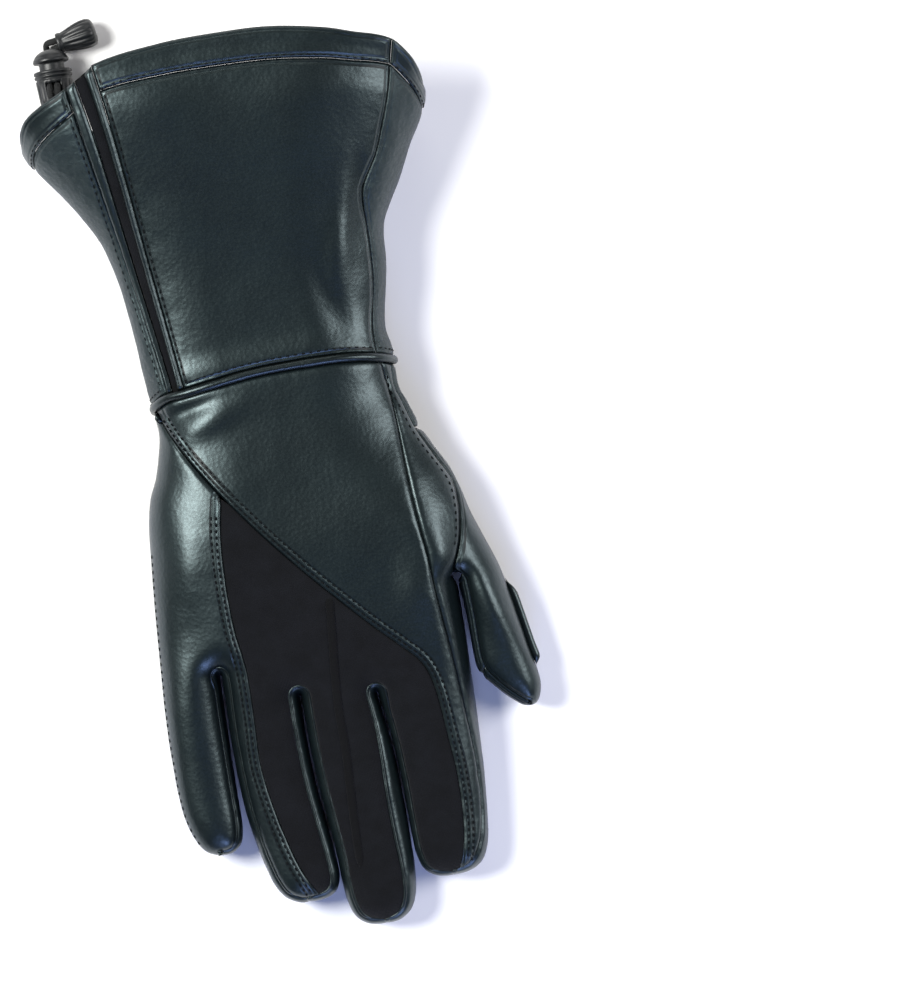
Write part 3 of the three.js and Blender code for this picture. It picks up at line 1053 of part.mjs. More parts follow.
// The two strands, side by side: from the tab, over the barrel, down its slot, under the button to the bell
const strandGap = (CORD_DIAMETER + CORD_GAP) / 2;
function strand(name, side) {
  const x = lockX + side * strandGap;
  const holeY = lockY + slotAt;
  const over = lockZ + LOCK_RADIUS + cordRadius + CORD_GAP;
  const low = cordRadius + 0.15;
  const turn = (BELL_TURN * Math.PI) / 180;
  const atBell = (run, z) => [bellX + run * Math.cos(turn) + side * strandGap * Math.sin(turn),
    bellY + run * Math.sin(turn) - side * strandGap * Math.cos(turn), z];
  const points = [
    [tabX + side * strandGap, tabY + TAB_SIZE[1] / 2 + CORD_GAP * 2.6, tabZ + 0.4 - side * 0.3],
    [x - 0.4, holeY - 17.5, 8.6], [x, holeY - 12.4, 12.8],
    [x, holeY - 7.2, over + 0.2], [x, holeY - 3.6, over + 0.45], [x, holeY - 1.1, over - 0.9],
    [x, holeY, over - 3.6],
    [x, holeY, lockZ], [x, holeY, low + 4], [x, holeY + 1.1, low + 1.3], [x, holeY + 3.8, low],
    [x, holeY + 8.5, low], [x + side * 0.1, holeY + 13 - side * 0.9, low + 0.3],
    atBell(-3.5 + side * 0.8, bellZ - 2.6),
    atBell(-0.6, bellZ - 0.2), atBell(2.4, bellZ), atBell(5, bellZ),
  ];
  const path = new THREE.CatmullRomCurve3(points.map((p) => new THREE.Vector3(...p)), false, 'centripetal');
  const section = new THREE.Shape(Array.from({ length: 8 }, (unused, i) => new THREE.Vector2(
    cordRadius * Math.cos((Math.PI * (i + 0.5)) / 4), cordRadius * Math.sin((Math.PI * (i + 0.5)) / 4))));
  const mesh = new THREE.Mesh(new THREE.ExtrudeGeometry(section,
    { steps: 38, bevelEnabled: false, extrudePath: path }), CORD_BLACK);
  mesh.name = name;
  cordNodes.add(name);
  group.add(mesh);
}
strand('drawcord_left', -1);
strand('drawcord_right', 1);

// The glove's own box is centred over the origin, on the floor
const bounds = new THREE.Box3();
group.children.filter((mesh) => !cordNodes.has(mesh.name)).forEach((mesh) => bounds.expandByObject(mesh));
group.position.set(-(bounds.min.x + bounds.max.x) / 2, -(bounds.min.y + bounds.max.y) / 2, -bounds.min.z);

export default group;
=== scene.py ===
"""A leather motorcycle gauntlet for the right hand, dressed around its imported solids.

Plan coordinates are millimetres from the middle of the wrist: +X to the thumb side,
+Y up the cuff, +Z up from the floor. Objects are made in metres in the frame's own axes.
"""

from __future__ import annotations

import logging
import math
from dataclasses import dataclass, field
from enum import Enum
from typing import Callable, Sequence

import bmesh
import bpy
import numpy as np
from mathutils import Matrix, Vector, kdtree, noise
from mathutils.bvhtree import BVHTree

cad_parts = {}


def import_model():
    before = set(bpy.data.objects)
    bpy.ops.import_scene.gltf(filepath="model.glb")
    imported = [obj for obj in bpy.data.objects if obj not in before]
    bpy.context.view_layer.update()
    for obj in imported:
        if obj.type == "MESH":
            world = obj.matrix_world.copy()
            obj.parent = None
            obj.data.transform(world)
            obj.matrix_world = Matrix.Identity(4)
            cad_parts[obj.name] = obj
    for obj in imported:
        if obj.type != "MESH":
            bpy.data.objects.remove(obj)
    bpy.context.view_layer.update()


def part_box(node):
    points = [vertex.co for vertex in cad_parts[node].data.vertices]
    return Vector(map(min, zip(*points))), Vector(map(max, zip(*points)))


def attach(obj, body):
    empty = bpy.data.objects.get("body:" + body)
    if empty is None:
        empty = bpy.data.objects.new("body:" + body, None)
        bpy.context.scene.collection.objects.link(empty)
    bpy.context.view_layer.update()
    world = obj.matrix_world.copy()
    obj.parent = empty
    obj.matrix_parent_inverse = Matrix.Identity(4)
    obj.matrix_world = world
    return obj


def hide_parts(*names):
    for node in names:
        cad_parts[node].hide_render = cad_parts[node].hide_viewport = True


LOG = logging.getLogger("gauntlet")
MM = 0.001
GLOVE_BODY = "glove"
BUTTON_BODY = "lock_button"
Array = np.ndarray
Reading = Callable[[Array], Array]
Color = tuple[float, float, float]
Socket = bpy.types.NodeSocket
Material = bpy.types.Material
Piece = bpy.types.Object
BMesh = bmesh.types.BMesh

# Distances from a seam to its rows of stitches, and a place between them, in millimetres
FIRST_ROW = 1.6
SECOND_ROW = 3.5
BETWEEN_ROWS = 2.55
# Sizes of the skin's wrinkles, from coarse to fine, with the offset of each pattern
WRINKLES = ((21.0, (0.0, 0.0, 0.0)), (7.5, (9.1, 3.7, 1.3)), (2.6, (1.1, 8.7, 4.3)))
# Middle of the drawcord's lock on the plan and the half length of its barrel
LOCK_X, LOCK_Y, LOCK_HALF = -64.0, 116.6, 6.8
# Plan points where the finger panels part
LITTLE_ROOT = (-61, -103)
RING_SPLIT = (-15.4, -195)
INDEX_SPLIT = (38, -194)
# Sockets of a colour mix: what goes in and what comes out
MIX_A, MIX_B, MIX_OUT = 6, 7, 2


class Side(Enum):
    """Which skin of the glove a point lies on."""

    BACK = 1.0
    PALM = -1.0


class Slot(Enum):
    """The record's material slots."""

    SMOOTH = "smooth_leather"
    GRAINED = "grained_leather"
    STRETCH = "stretch_fabric"
    RIB = "rib_knit"
    CORD = "cord"
    PLASTIC = "black_plastic"


def fade(t: Array) -> Array:
    """Falls from 1 at 0 to 0 at 1, and stays there."""
    return np.clip(1.0 - np.asarray(t, float), 0.0, None) ** 2


def swell(t: Array) -> Array:
    """Rises smoothly from 0 at 0 to 1 at 1."""
    s = np.clip(np.asarray(t, float), 0.0, 1.0)
    return s * s * (3.0 - 2.0 * s)


def blend(a: Array, b: Array, t: float) -> Array:
    """The point a share t of the way from a to b."""
    return np.asarray(a, float) * (1.0 - t) + np.asarray(b, float) * t


def unit(vectors: Array) -> Array:
    """Vectors of length 1 along the last axis."""
    return vectors / np.maximum(np.linalg.norm(vectors, axis=-1, keepdims=True), 1e-9)


def run_along(points: Array) -> Array:
    """How far each point lies along the polyline through them."""
    return np.concatenate([[0.0], np.cumsum(np.linalg.norm(np.diff(points, axis=0), axis=1))])


class Table:
    """A smooth curve through rows of (x, value), x rising."""

    def __init__(self, *rows: tuple[float, float]) -> None:
        """Keeps the rows and works out the slope at each."""
        self.x = np.array([row[0] for row in rows], float)
        self.y = np.array([row[1] for row in rows], float)
        slope = np.diff(self.y) / np.diff(self.x)
        middle = (self.y[2:] - self.y[:-2]) / (self.x[2:] - self.x[:-2])
        self.m = np.concatenate([slope[:1], middle, slope[-1:]])

    def __call__(self, x: Array) -> Array:
        """Reads the curve at x, which may be an array."""
        x = np.clip(np.asarray(x, float), self.x[0], self.x[-1])
        i = np.clip(np.searchsorted(self.x, x, side="right") - 1, 0, len(self.x) - 2)
        h = self.x[i + 1] - self.x[i]
        t = (x - self.x[i]) / h
        low = self.y[i] * (2 * t**3 - 3 * t**2 + 1) + self.m[i] * h * (t**3 - 2 * t**2 + t)
        return low + self.y[i + 1] * (3 * t**2 - 2 * t**3) + self.m[i + 1] * h * (t**3 - t**2)


# Fingertips, where every line turns to run straight into the finger
TIPS = {
    "little": (-50.5, -172.6),
    "ring": (-20.0, -195.2),
    "middle": (7.5, -208.0),
    "index": (35.5, -194.2),
    "thumb": (74.8, -136.0),
}
TIP_REACH = 3.0


def near_tip(points: Array) -> Array:
    """How close plan points are to a fingertip: 1 on it, 0 from about 3 mm away."""
    most = np.zeros(points.shape[:-1])
    for tip in TIPS.values():
        far = np.hypot(points[..., 0] - tip[0], points[..., 1] - tip[1])
        most = np.maximum(most, swell(1.35 - far / TIP_REACH))
    return most


class PlanLine:
    """A dense plan polyline with its length, its inward normals and its insets."""

    def __init__(self, points: Array, sign: float = 1.0) -> None:
        """Keeps the points; sign is 1 where the inside lies on the left of the way."""
        self.points = np.asarray(points, float)
        self.run = run_along(self.points)
        self.length = float(self.run[-1])
        self.sign = sign

    def at(self, t: Array) -> Array:
        """Points at shares t of the length."""
        s = np.clip(np.asarray(t, float), 0.0, 1.0) * self.length
        return np.stack([np.interp(s, self.run, self.points[:, k]) for k in (0, 1)], -1)

    def normal(self, t: Array) -> Array:
        """Inward unit normals at shares t."""
        t = np.asarray(t, float)
        step = 0.3 / self.length
        d = self.at(t + step) - self.at(t - step)
        n = unit(np.stack([-d[..., 1], d[..., 0]], -1) * self.sign)
        w = near_tip(self.at(t))[..., None]
        return unit(n * (1.0 - w) + w * np.array([0.0, 1.0]))

    def inset(self, depth: float | Reading) -> "PlanLine":
        """The line moved inward by a depth, or by a depth read along it."""
        t = self.run / self.length
        far = depth(t) if callable(depth) else np.full(len(t), float(depth))
        return PlanLine(self.points + self.normal(t) * far[:, None], self.sign)

    def part(self, t0: float, t1: float) -> "PlanLine":
        """The stretch between two shares."""
        t = self.run / self.length
        inner = self.points[(t > t0 + 1e-6) & (t < t1 - 1e-6)]
        return PlanLine(np.vstack([self.at(t0), inner, self.at(t1)]), self.sign)

    def reversed(self) -> "PlanLine":
        """The same line run the other way."""
        return PlanLine(self.points[::-1], -self.sign)

    def join(self, other: "PlanLine") -> "PlanLine":
        """This line followed by another."""
        return PlanLine(np.vstack([self.points, other.points]), self.sign)

    def between(self, a: Array, b: Array) -> "PlanLine":
        """The line with its two end points replaced."""
        return PlanLine(np.vstack([a, self.points[1:-1], b]), self.sign)

    def nearest(self, p: Sequence[float]) -> float:
        """The share of the length closest to a plan point."""
        far = np.hypot(self.points[:, 0] - p[0], self.points[:, 1] - p[1])
        return float(self.run[int(np.argmin(far))] / self.length)

    def trim(self, top: Table | None, foot: Table | None) -> "PlanLine":
        """Cuts off what lies above one height curve and below another."""
        x, y = self.points.T
        first = int(np.argmax(y <= top(x))) if top else 0
        below = np.nonzero(y <= foot(x))[0] if foot else []
        last = int(below[0]) if len(below) else len(x) - 1
        return PlanLine(self.points[first : last + 1], self.sign)


def spline(points: Sequence[Sequence[float]], step: float = 0.8) -> PlanLine:
    """A smooth centripetal line through plan points.

    Args:
        points: the points that the line passes through.
        step: distance between the line's own points, in millimetres.

    Returns:
        The line, with evenly spaced points.
    """
    p = np.asarray(points, float)
    p = np.vstack([2 * p[0] - p[1], p, 2 * p[-1] - p[-2]])
    samples = [p[1]]
    for i in range(1, len(p) - 2):
        a, b, c, d = p[i - 1 : i + 3]
        t0, t1, t2 = (max(np.linalg.norm(v) ** 0.5, 1e-4) for v in (b - a, c - b, d - c))
        m1 = ((b - a) / t0 - (c - a) / (t0 + t1) + (c - b) / t1) * t1
        m2 = ((c - b) / t1 - (d - b) / (t1 + t2) + (d - c) / t2) * t1
        s = np.linspace(0, 1, 25)[1:, None]
        samples.extend(
            b + m1 * s + (3 * (c - b) - 2 * m1 - m2) * s**2 + (2 * (b - c) + m1 + m2) * s**3
        )
    samples = np.array(samples)
    run = run_along(samples)
    even = np.linspace(0, run[-1], max(8, math.ceil(run[-1] / step)) + 1)
    return PlanLine(np.stack([np.interp(even, run, axis) for axis in samples.T], -1))


def slit(near: list, end: tuple, far: list, half: float = 0.5) -> tuple[PlanLine, float]:
    """A slit between two fingers.

    Args:
        near: points from the first fingertip up to the slit's end.
        end: middle of the round end.
        far: points from there down to the next fingertip.
        half: half the slit's width in millimetres.

    Returns:
        The whole line, and the share of it where the end lies.
    """
    angle = np.pi - np.pi * np.arange(9) / 8
    turn = np.stack([end[0] + half * np.cos(angle), end[1] + half * np.sin(angle)], -1)
    up = spline([*near, turn[0]])
    down = spline([turn[8], *far])
    whole = PlanLine(np.vstack([up.points[:-1], turn, down.points[1:]]))
    return whole, (up.length + math.pi * half / 2) / whole.length


LEFT_EDGE = spline([
    (-79, 101), (-77.6, 96.6), (-75, 92.5), (-70, 85.6), (-65, 78.2), (-60, 70), (-55.6, 61),
    (-53, 52), (-51.5, 44), (-50, 30), (-49, 20), (-48.3, 10), (-47.6, 3), (-46.9, -3),
    (-46.4, -12), (-48, -20), (-50.5, -28.5), (-53.8, -36), (-56, -46), (-57.5, -60),
    (-59, -75), (-60.2, -90), (-61, -103), (-61.8, -117), (-62.3, -131), (-62.2, -145),
    (-61.2, -156), (-58.8, -164.5), (-55.5, -169.8), TIPS["little"],
])
RIGHT_EDGE = spline([
    (73.4, 100), (72.4, 94.5), (70, 89), (65, 80), (59, 68.5), (54, 60), (50.3, 52), (48.8, 41),
    (47, 30), (44.7, 20), (44, 13), (45, 7), (45.4, 1), (45, -4), (45.2, -9), (47.8, -16),
    (50.6, -25), (54.5, -33), (58.8, -41), (61.8, -50), (64.3, -60), (68, -70.5), (71.6, -81),
    (73.7, -91), (75.6, -101.5), (77.4, -112), (79.2, -121), (79.8, -128.5), (78.4, -133.2),
    (76.9, -135.3), TIPS["thumb"],
])
RIGHT_EDGE.sign = -1.0
SLIT_LITTLE, LITTLE_END = slit(
    [TIPS["little"], (-45.5, -172.2), (-42, -169.5), (-40.4, -164), (-40.1, -150),
     (-39.9, -130), (-39.4, -113)],
    (-38.7, -105.4),
    [(-38.4, -113), (-38.8, -130), (-38.6, -145), (-37.6, -160), (-36, -170), (-34, -179),
     (-31.5, -187), (-28, -192.3), (-23, -194.9), TIPS["ring"]],
)
SLIT_RING, RING_END = slit(
    [TIPS["ring"], (-14, -194.9), (-9.5, -193), (-7.3, -188.5), (-7.4, -180), (-9, -165),
     (-10.4, -150), (-10.9, -135)],
    (-10.5, -117.6),
    [(-9.9, -135), (-9.4, -150), (-8, -165), (-6.6, -180), (-6.3, -190), (-5.4, -198),
     (-3.2, -203.8), (1, -207), TIPS["middle"]],
)
SLIT_MIDDLE, MIDDLE_END = slit(
    [TIPS["middle"], (13, -207.3), (17.5, -204.3), (20.2, -198.5), (21.4, -190), (21.5, -175),
     (21.2, -155), (20.3, -140), (18.8, -128)],
    (18.3, -121.2),
    [(19.8, -128), (21.3, -140), (22.2, -155), (22.6, -175), (23.2, -185), (25.2, -190.5),
     (29, -193.2), TIPS["index"]],
)
SLIT_THUMB, THUMB_END = slit(
    [TIPS["index"], (42, -193.4), (47, -190.6), (50.2, -184), (52, -172), (53.2, -158),
     (54, -140), (54.6, -120), (55, -103), (54.9, -92)],
    (55.1, -85.2),
    [(56, -92), (56.4, -103), (56.6, -113), (57.6, -119.5), (61, -124.5), (66, -130),
     (70.6, -134), (72.8, -135.5), TIPS["thumb"]],
)


# Shares along each finger's palm where the rib-knit band begins and ends
RIBS = {
    "little": (0.15, 0.345),
    "ring": (0.33, 0.52),
    "middle": (0.235, 0.42),
    "index": (0.3, 0.505),
}
# Share along the thumb where its tip piece begins
CROSS_SEAM = 0.62


class Distance:
    """Distance from plan points to a set of lines."""

    def __init__(self, *lines: PlanLine) -> None:
        """Keeps the lines' segments."""
        self.a = np.vstack([line.points[:-1] for line in lines])
        self.e = np.vstack([np.diff(line.points, axis=0) for line in lines])
        self.ee = np.maximum((self.e**2).sum(-1), 1e-9)

    def __call__(self, points: Array) -> Array:
        """The least distance for each row of points."""
        flat = points.reshape(-1, 2)
        out = np.empty(len(flat))
        for i in range(0, len(flat), 2048):
            d = flat[i : i + 2048, None, :] - self.a
            t = np.clip((d * self.e).sum(-1) / self.ee, 0, 1)
            out[i : i + 2048] = np.sqrt(((d - t[..., None] * self.e) ** 2).sum(-1).min(-1))
        return out.reshape(points.shape[:-1])


@dataclass(frozen=True)
class Fold:
    """A fold or dent of the skin: where it lies, its reach, its turn and its height."""

    x: float
    y: float
    reach_x: float
    reach_y: float
    turn: float
    height: float

    def raise_at(self, x: Array, y: Array) -> Array:
        """Height that the fold adds at plan points, in millimetres."""
        a = math.radians(self.turn)
        du = (x - self.x) * math.cos(a) + (y - self.y) * math.sin(a)
        dv = (y - self.y) * math.cos(a) - (x - self.x) * math.sin(a)
        return self.height * np.exp(-((du / self.reach_x) ** 2) - (dv / self.reach_y) ** 2)


BACK_FOLDS = [
    Fold(-36, -6, 15, 3, 14, -1.6), Fold(-28, -12, 14, 4, 20, 1.1), Fold(-10, 9, 34, 4, 3, 0.7),
    Fold(44, 62, 4, 12, -8, -2.2), Fold(34, 48, 5, 18, -14, 1.6), Fold(26, 26, 5, 16, 12, -1.1),
    Fold(-10, 70, 26, 22, 0, -0.7), Fold(-44, -62, 8, 14, 0, 1.1), Fold(40, -86, 7, 12, 0, 1.3),
    Fold(8, -40, 22, 16, 35, -0.7), Fold(-26, 108, 16, 9, 0, 1.1), Fold(30, 104, 18, 8, -6, 0.7),
    Fold(-16, -120, 6, 5, 0, -0.7), Fold(66, -96, 5, 14, 20, 1.4), Fold(47, -6, 5, 3, 0, -1.8),
]
PALM_FOLDS = [
    Fold(4, 34, 30, 7, 22, 5.4), Fold(24, 50, 24, 7, 30, 4.7), Fold(34, 22, 16, 5, 8, 4.3),
    Fold(-26, 60, 16, 14, -40, 3.6), Fold(0, 3, 60, 5, 3, 2.9), Fold(-4, -52, 13, 22, 8, 3.2),
    Fold(-12, -88, 20, 6, -12, 1.8), Fold(-30, 84, 20, 9, -10, 2.2), Fold(30, -110, 10, 4, 30, 1.8),
    Fold(10, 84, 30, 8, 4, 1.8),
]


def table_field(*rows: tuple[float, float]) -> Table:
    """A dataclass field that holds a curve of its own."""
    return field(default_factory=lambda: Table(*rows))


@dataclass
class GloveForm:
    """The glove's skin: its heights over the plan, in millimetres."""

    hand_height: float = 36.0
    cuff_height: float = 56.0
    slit_reach_back: float = 12.5
    slit_reach_palm: float = 8.0
    crown: Table = table_field(
        (-208, 0.56), (-190, 0.58), (-170, 0.6), (-145, 0.66), (-120, 0.75), (-100, 0.84),
        (-80, 0.92), (-60, 0.98), (-40, 1), (-15, 1), (0, 1.02))
    crown_rise: Table = table_field(
        (0, 0), (15, 0.03), (40, 0.2), (70, 0.55), (100, 0.88), (128, 1))
    half_share: Table = table_field(
        (-208, 0.27), (-170, 0.29), (-120, 0.33), (-80, 0.38), (-40, 0.42), (0, 0.45))
    back_left: Table = table_field(
        (-208, 12), (-120, 13), (-103, 18), (-85, 30), (-40, 36), (0, 30), (50, 36), (110, 52))
    back_right: Table = table_field(
        (-140, 10.5), (-95, 11.5), (-80, 16), (-60, 28), (-30, 38), (0, 30), (50, 36), (110, 52))
    palm_left: Table = table_field(
        (-208, 8), (-140, 8), (-105, 9), (-60, 14), (0, 15), (60, 22), (110, 30))
    palm_right: Table = table_field(
        (-140, 8), (-90, 9), (-50, 14), (0, 14), (60, 20), (110, 28))

    def __post_init__(self) -> None:
        """Sets up the distances to the outline."""
        self.to_left = Distance(LEFT_EDGE)
        self.to_right = Distance(RIGHT_EDGE)
        self.to_slits = Distance(SLIT_LITTLE, SLIT_RING, SLIT_MIDDLE, SLIT_THUMB)

    @staticmethod
    def _soft_least(*values: Array) -> Array:
        """A smooth least of several shares."""
        return sum(np.maximum(v, 1e-4) ** -6.0 for v in values) ** (-1.0 / 6.0)

    @staticmethod
    def _round(t: Array, power: float) -> Array:
        """A rounded rise from 0 at the outline to 1 where the section is flat."""
        s = np.clip(t, 0.0, 1.0)
        return (1.0 - (1.0 - s) ** power) ** (1.0 / power)

    def crown_at(self, x: Array, y: Array) -> Array:
        """Height of the back along the middle of each finger or of the hand."""
        hand = self.crown(np.minimum(y, 0)) * self.hand_height
        rise = self.crown_rise(np.maximum(y, 0))
        tall = hand + (self.cuff_height - hand) * rise
        thumb = swell((x - 50) / 9) * swell((-y - 52) / 26) * 0.15
        little = swell((-x - 32) / 16) * swell((-y - 60) / 40) * 0.06
        return tall - (thumb + little) * self.hand_height

    def half_at(self, y: Array) -> Array:
        """Height of the outline."""
        hand = self.half_share(np.minimum(y, 0)) * self.hand_height
        rise = self.crown_rise(np.maximum(y, 0))
        return hand + (self.cuff_height * 0.46 - hand) * rise

    def height(self, plan: Array, side: Side) -> Array:
        """Height of the skin at plan points.

        Args:
            plan: points, in millimetres, along the last axis.
            side: the back or the palm.

        Returns:
            The heights above the floor, in millimetres.
        """
        x, y = plan[..., 0], plan[..., 1]
        left, right, slits = self.to_left(plan), self.to_right(plan), self.to_slits(plan)
        half = self.half_at(y)
        if side is Side.BACK:
            t = self._soft_least(left / self.back_left(y), right / self.back_right(y),
                                 slits / self.slit_reach_back)
            folds = sum(fold.raise_at(x, y) for fold in BACK_FOLDS)
            rise = self._round(t, 2.25)
            return half + (self.crown_at(x, y) - half) * rise + folds * np.clip(t * 2.5, 0, 1)
        t = self._soft_least(left / self.palm_left(y), right / self.palm_right(y),
                             slits / self.slit_reach_palm)
        folds = sum(fold.raise_at(x, y) for fold in PALM_FOLDS)
        share = 0.35 + 0.65 * np.clip(t, 0, 1)
        low = half * (1 - self._round(t, 2.3)) + folds * np.clip(t * 2, 0, 1) * share
        return np.maximum(low, 0.0)

    def skin(self, plan: Array, side: Side) -> Array:
        """Points of the skin over plan points."""
        return np.concatenate([plan, self.height(plan, side)[..., None]], -1)


# Heights along Y of the wrist seam and of the mouth, read at X
WRIST_BACK = Table((-48, -3), (-41, 0.2), (-33, 0.9), (-20, 2.6), (-10, 3.8), (0, 4.4), (20, 4.4),
                   (30, 3.9), (40, 2.4), (46.5, 0.8))
WRIST_PALM = Table((-48, -3.4), (-40, -2.4), (-30, -0.4), (-20, 1), (0, 2.4), (20, 3.8),
                   (30, 4.2), (40, 3), (46.5, 0.6))
MOUTH_BACK = Table((-79, 101), (-77.6, 105.4), (-74.5, 109.6), (-68, 113.4), (-57, 118.2),
                   (-45, 125), (-20, 128.5), (0, 129), (20, 128.2), (40, 124.6), (50, 121.6),
                   (64, 117), (70, 110.4), (72.6, 104.6), (73.4, 100))
MOUTH_PALM = Table((-79, 101), (-74, 101.4), (-60, 105), (-45, 108), (-30, 110), (0, 111),
                   (20, 109), (50, 103.6), (66, 99.6), (73.4, 100))


def shifted(table: Table, by: float) -> Table:
    """The same curve, moved along Y."""
    return Table(*zip(table.x, table.y + by))


Edge = PlanLine | Callable[[Array], Array]


@dataclass
class Pattern:
    """The glove's cutting pattern: every seam line, and each panel's grids on the skin."""

    form: GloveForm = field(default_factory=GloveForm)
    seam_half: float = 0.03
    ring_half: float = 1.5
    hem_width: float = 9.0
    outer_turn: float = 4.0
    index_turn: float = 2.6
    cell: float = 1.15
    cell_across: int = 5

    def __post_init__(self) -> None:
        """Works the seam lines out of the outline."""
        self.hem_share = self.hem_width / 100 * 0.86
        self.cuff_back = shifted(WRIST_BACK, self.ring_half)
        self.cuff_palm = shifted(WRIST_PALM, self.ring_half)
        self.hand_back = shifted(WRIST_BACK, -self.ring_half)
        self.hand_palm = shifted(WRIST_PALM, -self.ring_half)
        self.left_cuff = LEFT_EDGE.trim(None, self.cuff_back)
        self.left_hand = LEFT_EDGE.trim(self.hand_back, None)
        self.right_cuff = RIGHT_EDGE.trim(None, self.cuff_back)
        self.right_hand = RIGHT_EDGE.trim(self.hand_back, None)
        self._cuff_lines()
        self._hand_lines()
        self._finger_lines()

    def _cuff_lines(self) -> None:
        """Seams of the cuff, from the mouth down to the wrist."""
        rows = {
            "side": [(-57.2, 118), (-54.5, 100), (-47, 50), (-41, 10), (-39.9, 0.2)],
            "gusset_left": [(-53.4, 120), (-50, 100), (-44.4, 50), (-39, 10), (-38, 0.4)],
            "gusset_right": [(-49.4, 122.2), (-46, 100), (-41, 50), (-36.7, 10), (-35.8, 0.6)],
            "back_left": [(-46.3, 124.2), (-43, 100), (-38.5, 50), (-34.4, 10), (-33.4, 0.8)],
            "back_right": [(64.5, 116.6), (62.4, 108), (60, 98), (56, 87), (52, 77), (48, 70.5),
                           (45, 65.5), (44, 60), (44, 50), (43.4, 35), (42, 25), (40, 16),
                           (39.5, 8), (39.8, 1.4)],
        }
        self.cuff = {key: spline(points).trim(None, self.cuff_back) for key, points in rows.items()}
        self.under_left = self.left_cuff.inset(lambda t: 9 - 5.5 * t)

    def _hand_lines(self) -> None:
        """Seams on the back of the hand, from the wrist down."""
        self.double_seam = spline([
            (-46.4, -1), (-45.4, -6.5), (-40, -18), (-30, -34), (-20, -48), (-10, -61), (0, -73),
            (8, -82), (20, -95), (30, -105), (36, -111.2), (38.6, -116), (40.2, -122),
            (41.2, -130), (42, -140), (43.2, -155), (43, -170), (41.8, -181), (39.6, -190),
            (38.6, -192.8),
        ]).trim(self.hand_back, None)
        self.fabric_seam = spline([
            (-26.4, -40.6), (-28.3, -50), (-29.4, -60), (-30, -75), (-29.6, -90), (-28.4, -100),
            (-28, -110), (-28.4, -125), (-29, -140), (-28, -150), (-25.2, -165), (-21.2, -180),
            (-16.8, -191), (-15.6, -193.4),
        ])
        self.index_seam = spline([
            (40.4, 5), (41.4, -4), (42.2, -10), (43, -20), (43.5, -45), (44.5, -60), (46, -75),
            (47, -90), (48.4, -105), (49.7, -120), (50.6, -135), (51.2, -150), (50.9, -165),
            (49.7, -175), (47.5, -183.4), (44, -188.8), (40.4, -191.8), (39.3, -192.6),
        ]).trim(self.hand_back, None)
        self.thumb_seam = spline([
            (44.6, 6), (44.2, -3), (44.2, -9), (46.6, -16.5), (49.4, -25.5), (53.2, -33.5),
            (57.4, -41), (60, -46.5), (60.9, -52), (60.8, -59), (59.6, -67), (56.8, -75.5),
            (54.9, -79.6), (54.6, -82.2),
        ]).trim(self.hand_back, None)
        self.gusset = spline([
            (37, -16.6), (28, -18), (20.3, -24.5), (13.5, -37), (11.7, -52.5), (12, -60),
            (13.7, -70.7), (18, -84.4), (23, -91.5), (29.6, -97.4),
        ])
        self.wedge = spline([(41, -81.2), (34.8, -84.4), (30.9, -90.6), (29.8, -97)])
        self.centre_seam = spline([
            (38.4, -17.8), (42, -32), (47, -44), (56, -62.5), (62.4, -80), (68, -99),
            (71.6, -114), (74.2, -126), (74.9, -131.6),
        ])
        top, foot = (-40, -18.8), (-35, -62.2)
        self.pad_left = spline([top, (-43.6, -24), (-45.2, -34), (-45, -46), (-42.8, -55.5),
                                (-39.6, -60.6), foot])
        self.pad_right = spline([top, (-33, -16.5), (-25, -16.9), (-17.5, -21), (-14.4, -29),
                                 (-17.4, -38.5), (-23.4, -48), (-28.6, -57.6), (-31.4, -61), foot])
        self.pad_core = spline([(-39.6, -20.4), (-36.4, -38), (-34.6, -60)])

    def _finger_lines(self) -> None:
        """The back and palm edges of each finger along the slits."""
        g = self.seam_half
        self.back_inset = {
            "little": Table((0, 1.7), (0.1, 1.6), (0.4, 1.7), (LITTLE_END, 2.6), (0.55, 2.6),
                            (0.9, 2.4), (1, 1.8)),
            "ring": Table((0, 1.8), (0.1, 2.6), (RING_END, 3), (0.88, 2.8), (1, 1.8)),
            "middle": Table((0, 1.8), (0.08, 3.6), (0.3, 5.4), (MIDDLE_END - 0.06, 3.2),
                            (MIDDLE_END, 2.8), (MIDDLE_END + 0.06, 1.8), (1, 1.7)),
        }
        self.palm_inset = {
            "little": Table((0, 5), (0.12, 3.6), (0.5, 3.4), (0.9, 3.8), (1, 5)),
            "ring": Table((0, 5), (0.1, 2.6), (0.5, 2.4), (0.9, 2.8), (1, 5)),
            "middle": Table((0, 5), (0.1, 2.8), (0.5, 2.6), (0.9, 2.8), (1, 5)),
        }
        self.slits = {
            "little": (SLIT_LITTLE, LITTLE_END),
            "ring": (SLIT_RING, RING_END),
            "middle": (SLIT_MIDDLE, MIDDLE_END),
        }
        self.back = {}
        self.palm = {}
        self.tops = {}
        for key, (line, end) in self.slits.items():
            top = line.inset(lambda t, k=key: self.back_inset[k](t) + g)
            under = line.inset(lambda t, k=key: self.palm_inset[k](t) + g)
            self.tops[key] = top
            self.back[key] = (top.part(0, end).reversed(), top.part(end, 1))
            self.palm[key] = (under.part(0, end).reversed(), under.part(end, 1))

    @staticmethod
    def _outward(grid: Array, facing: float, columns: int) -> Array:
        """The grid with its columns in the order that turns its first columns' faces out."""
        step_row = grid[1:, :-1] - grid[:-1, :-1]
        step_column = grid[:-1, 1:] - grid[:-1, :-1]
        up = np.cross(step_column, step_row)[..., 2]
        return grid if up[:, :columns].sum() * facing > 0 else grid[:, ::-1]

    @staticmethod
    def _at(line: Edge, t: Array) -> Array:
        """Points on a line or on a function of the share."""
        return line.at(t) if isinstance(line, PlanLine) else line(np.asarray(t, float))

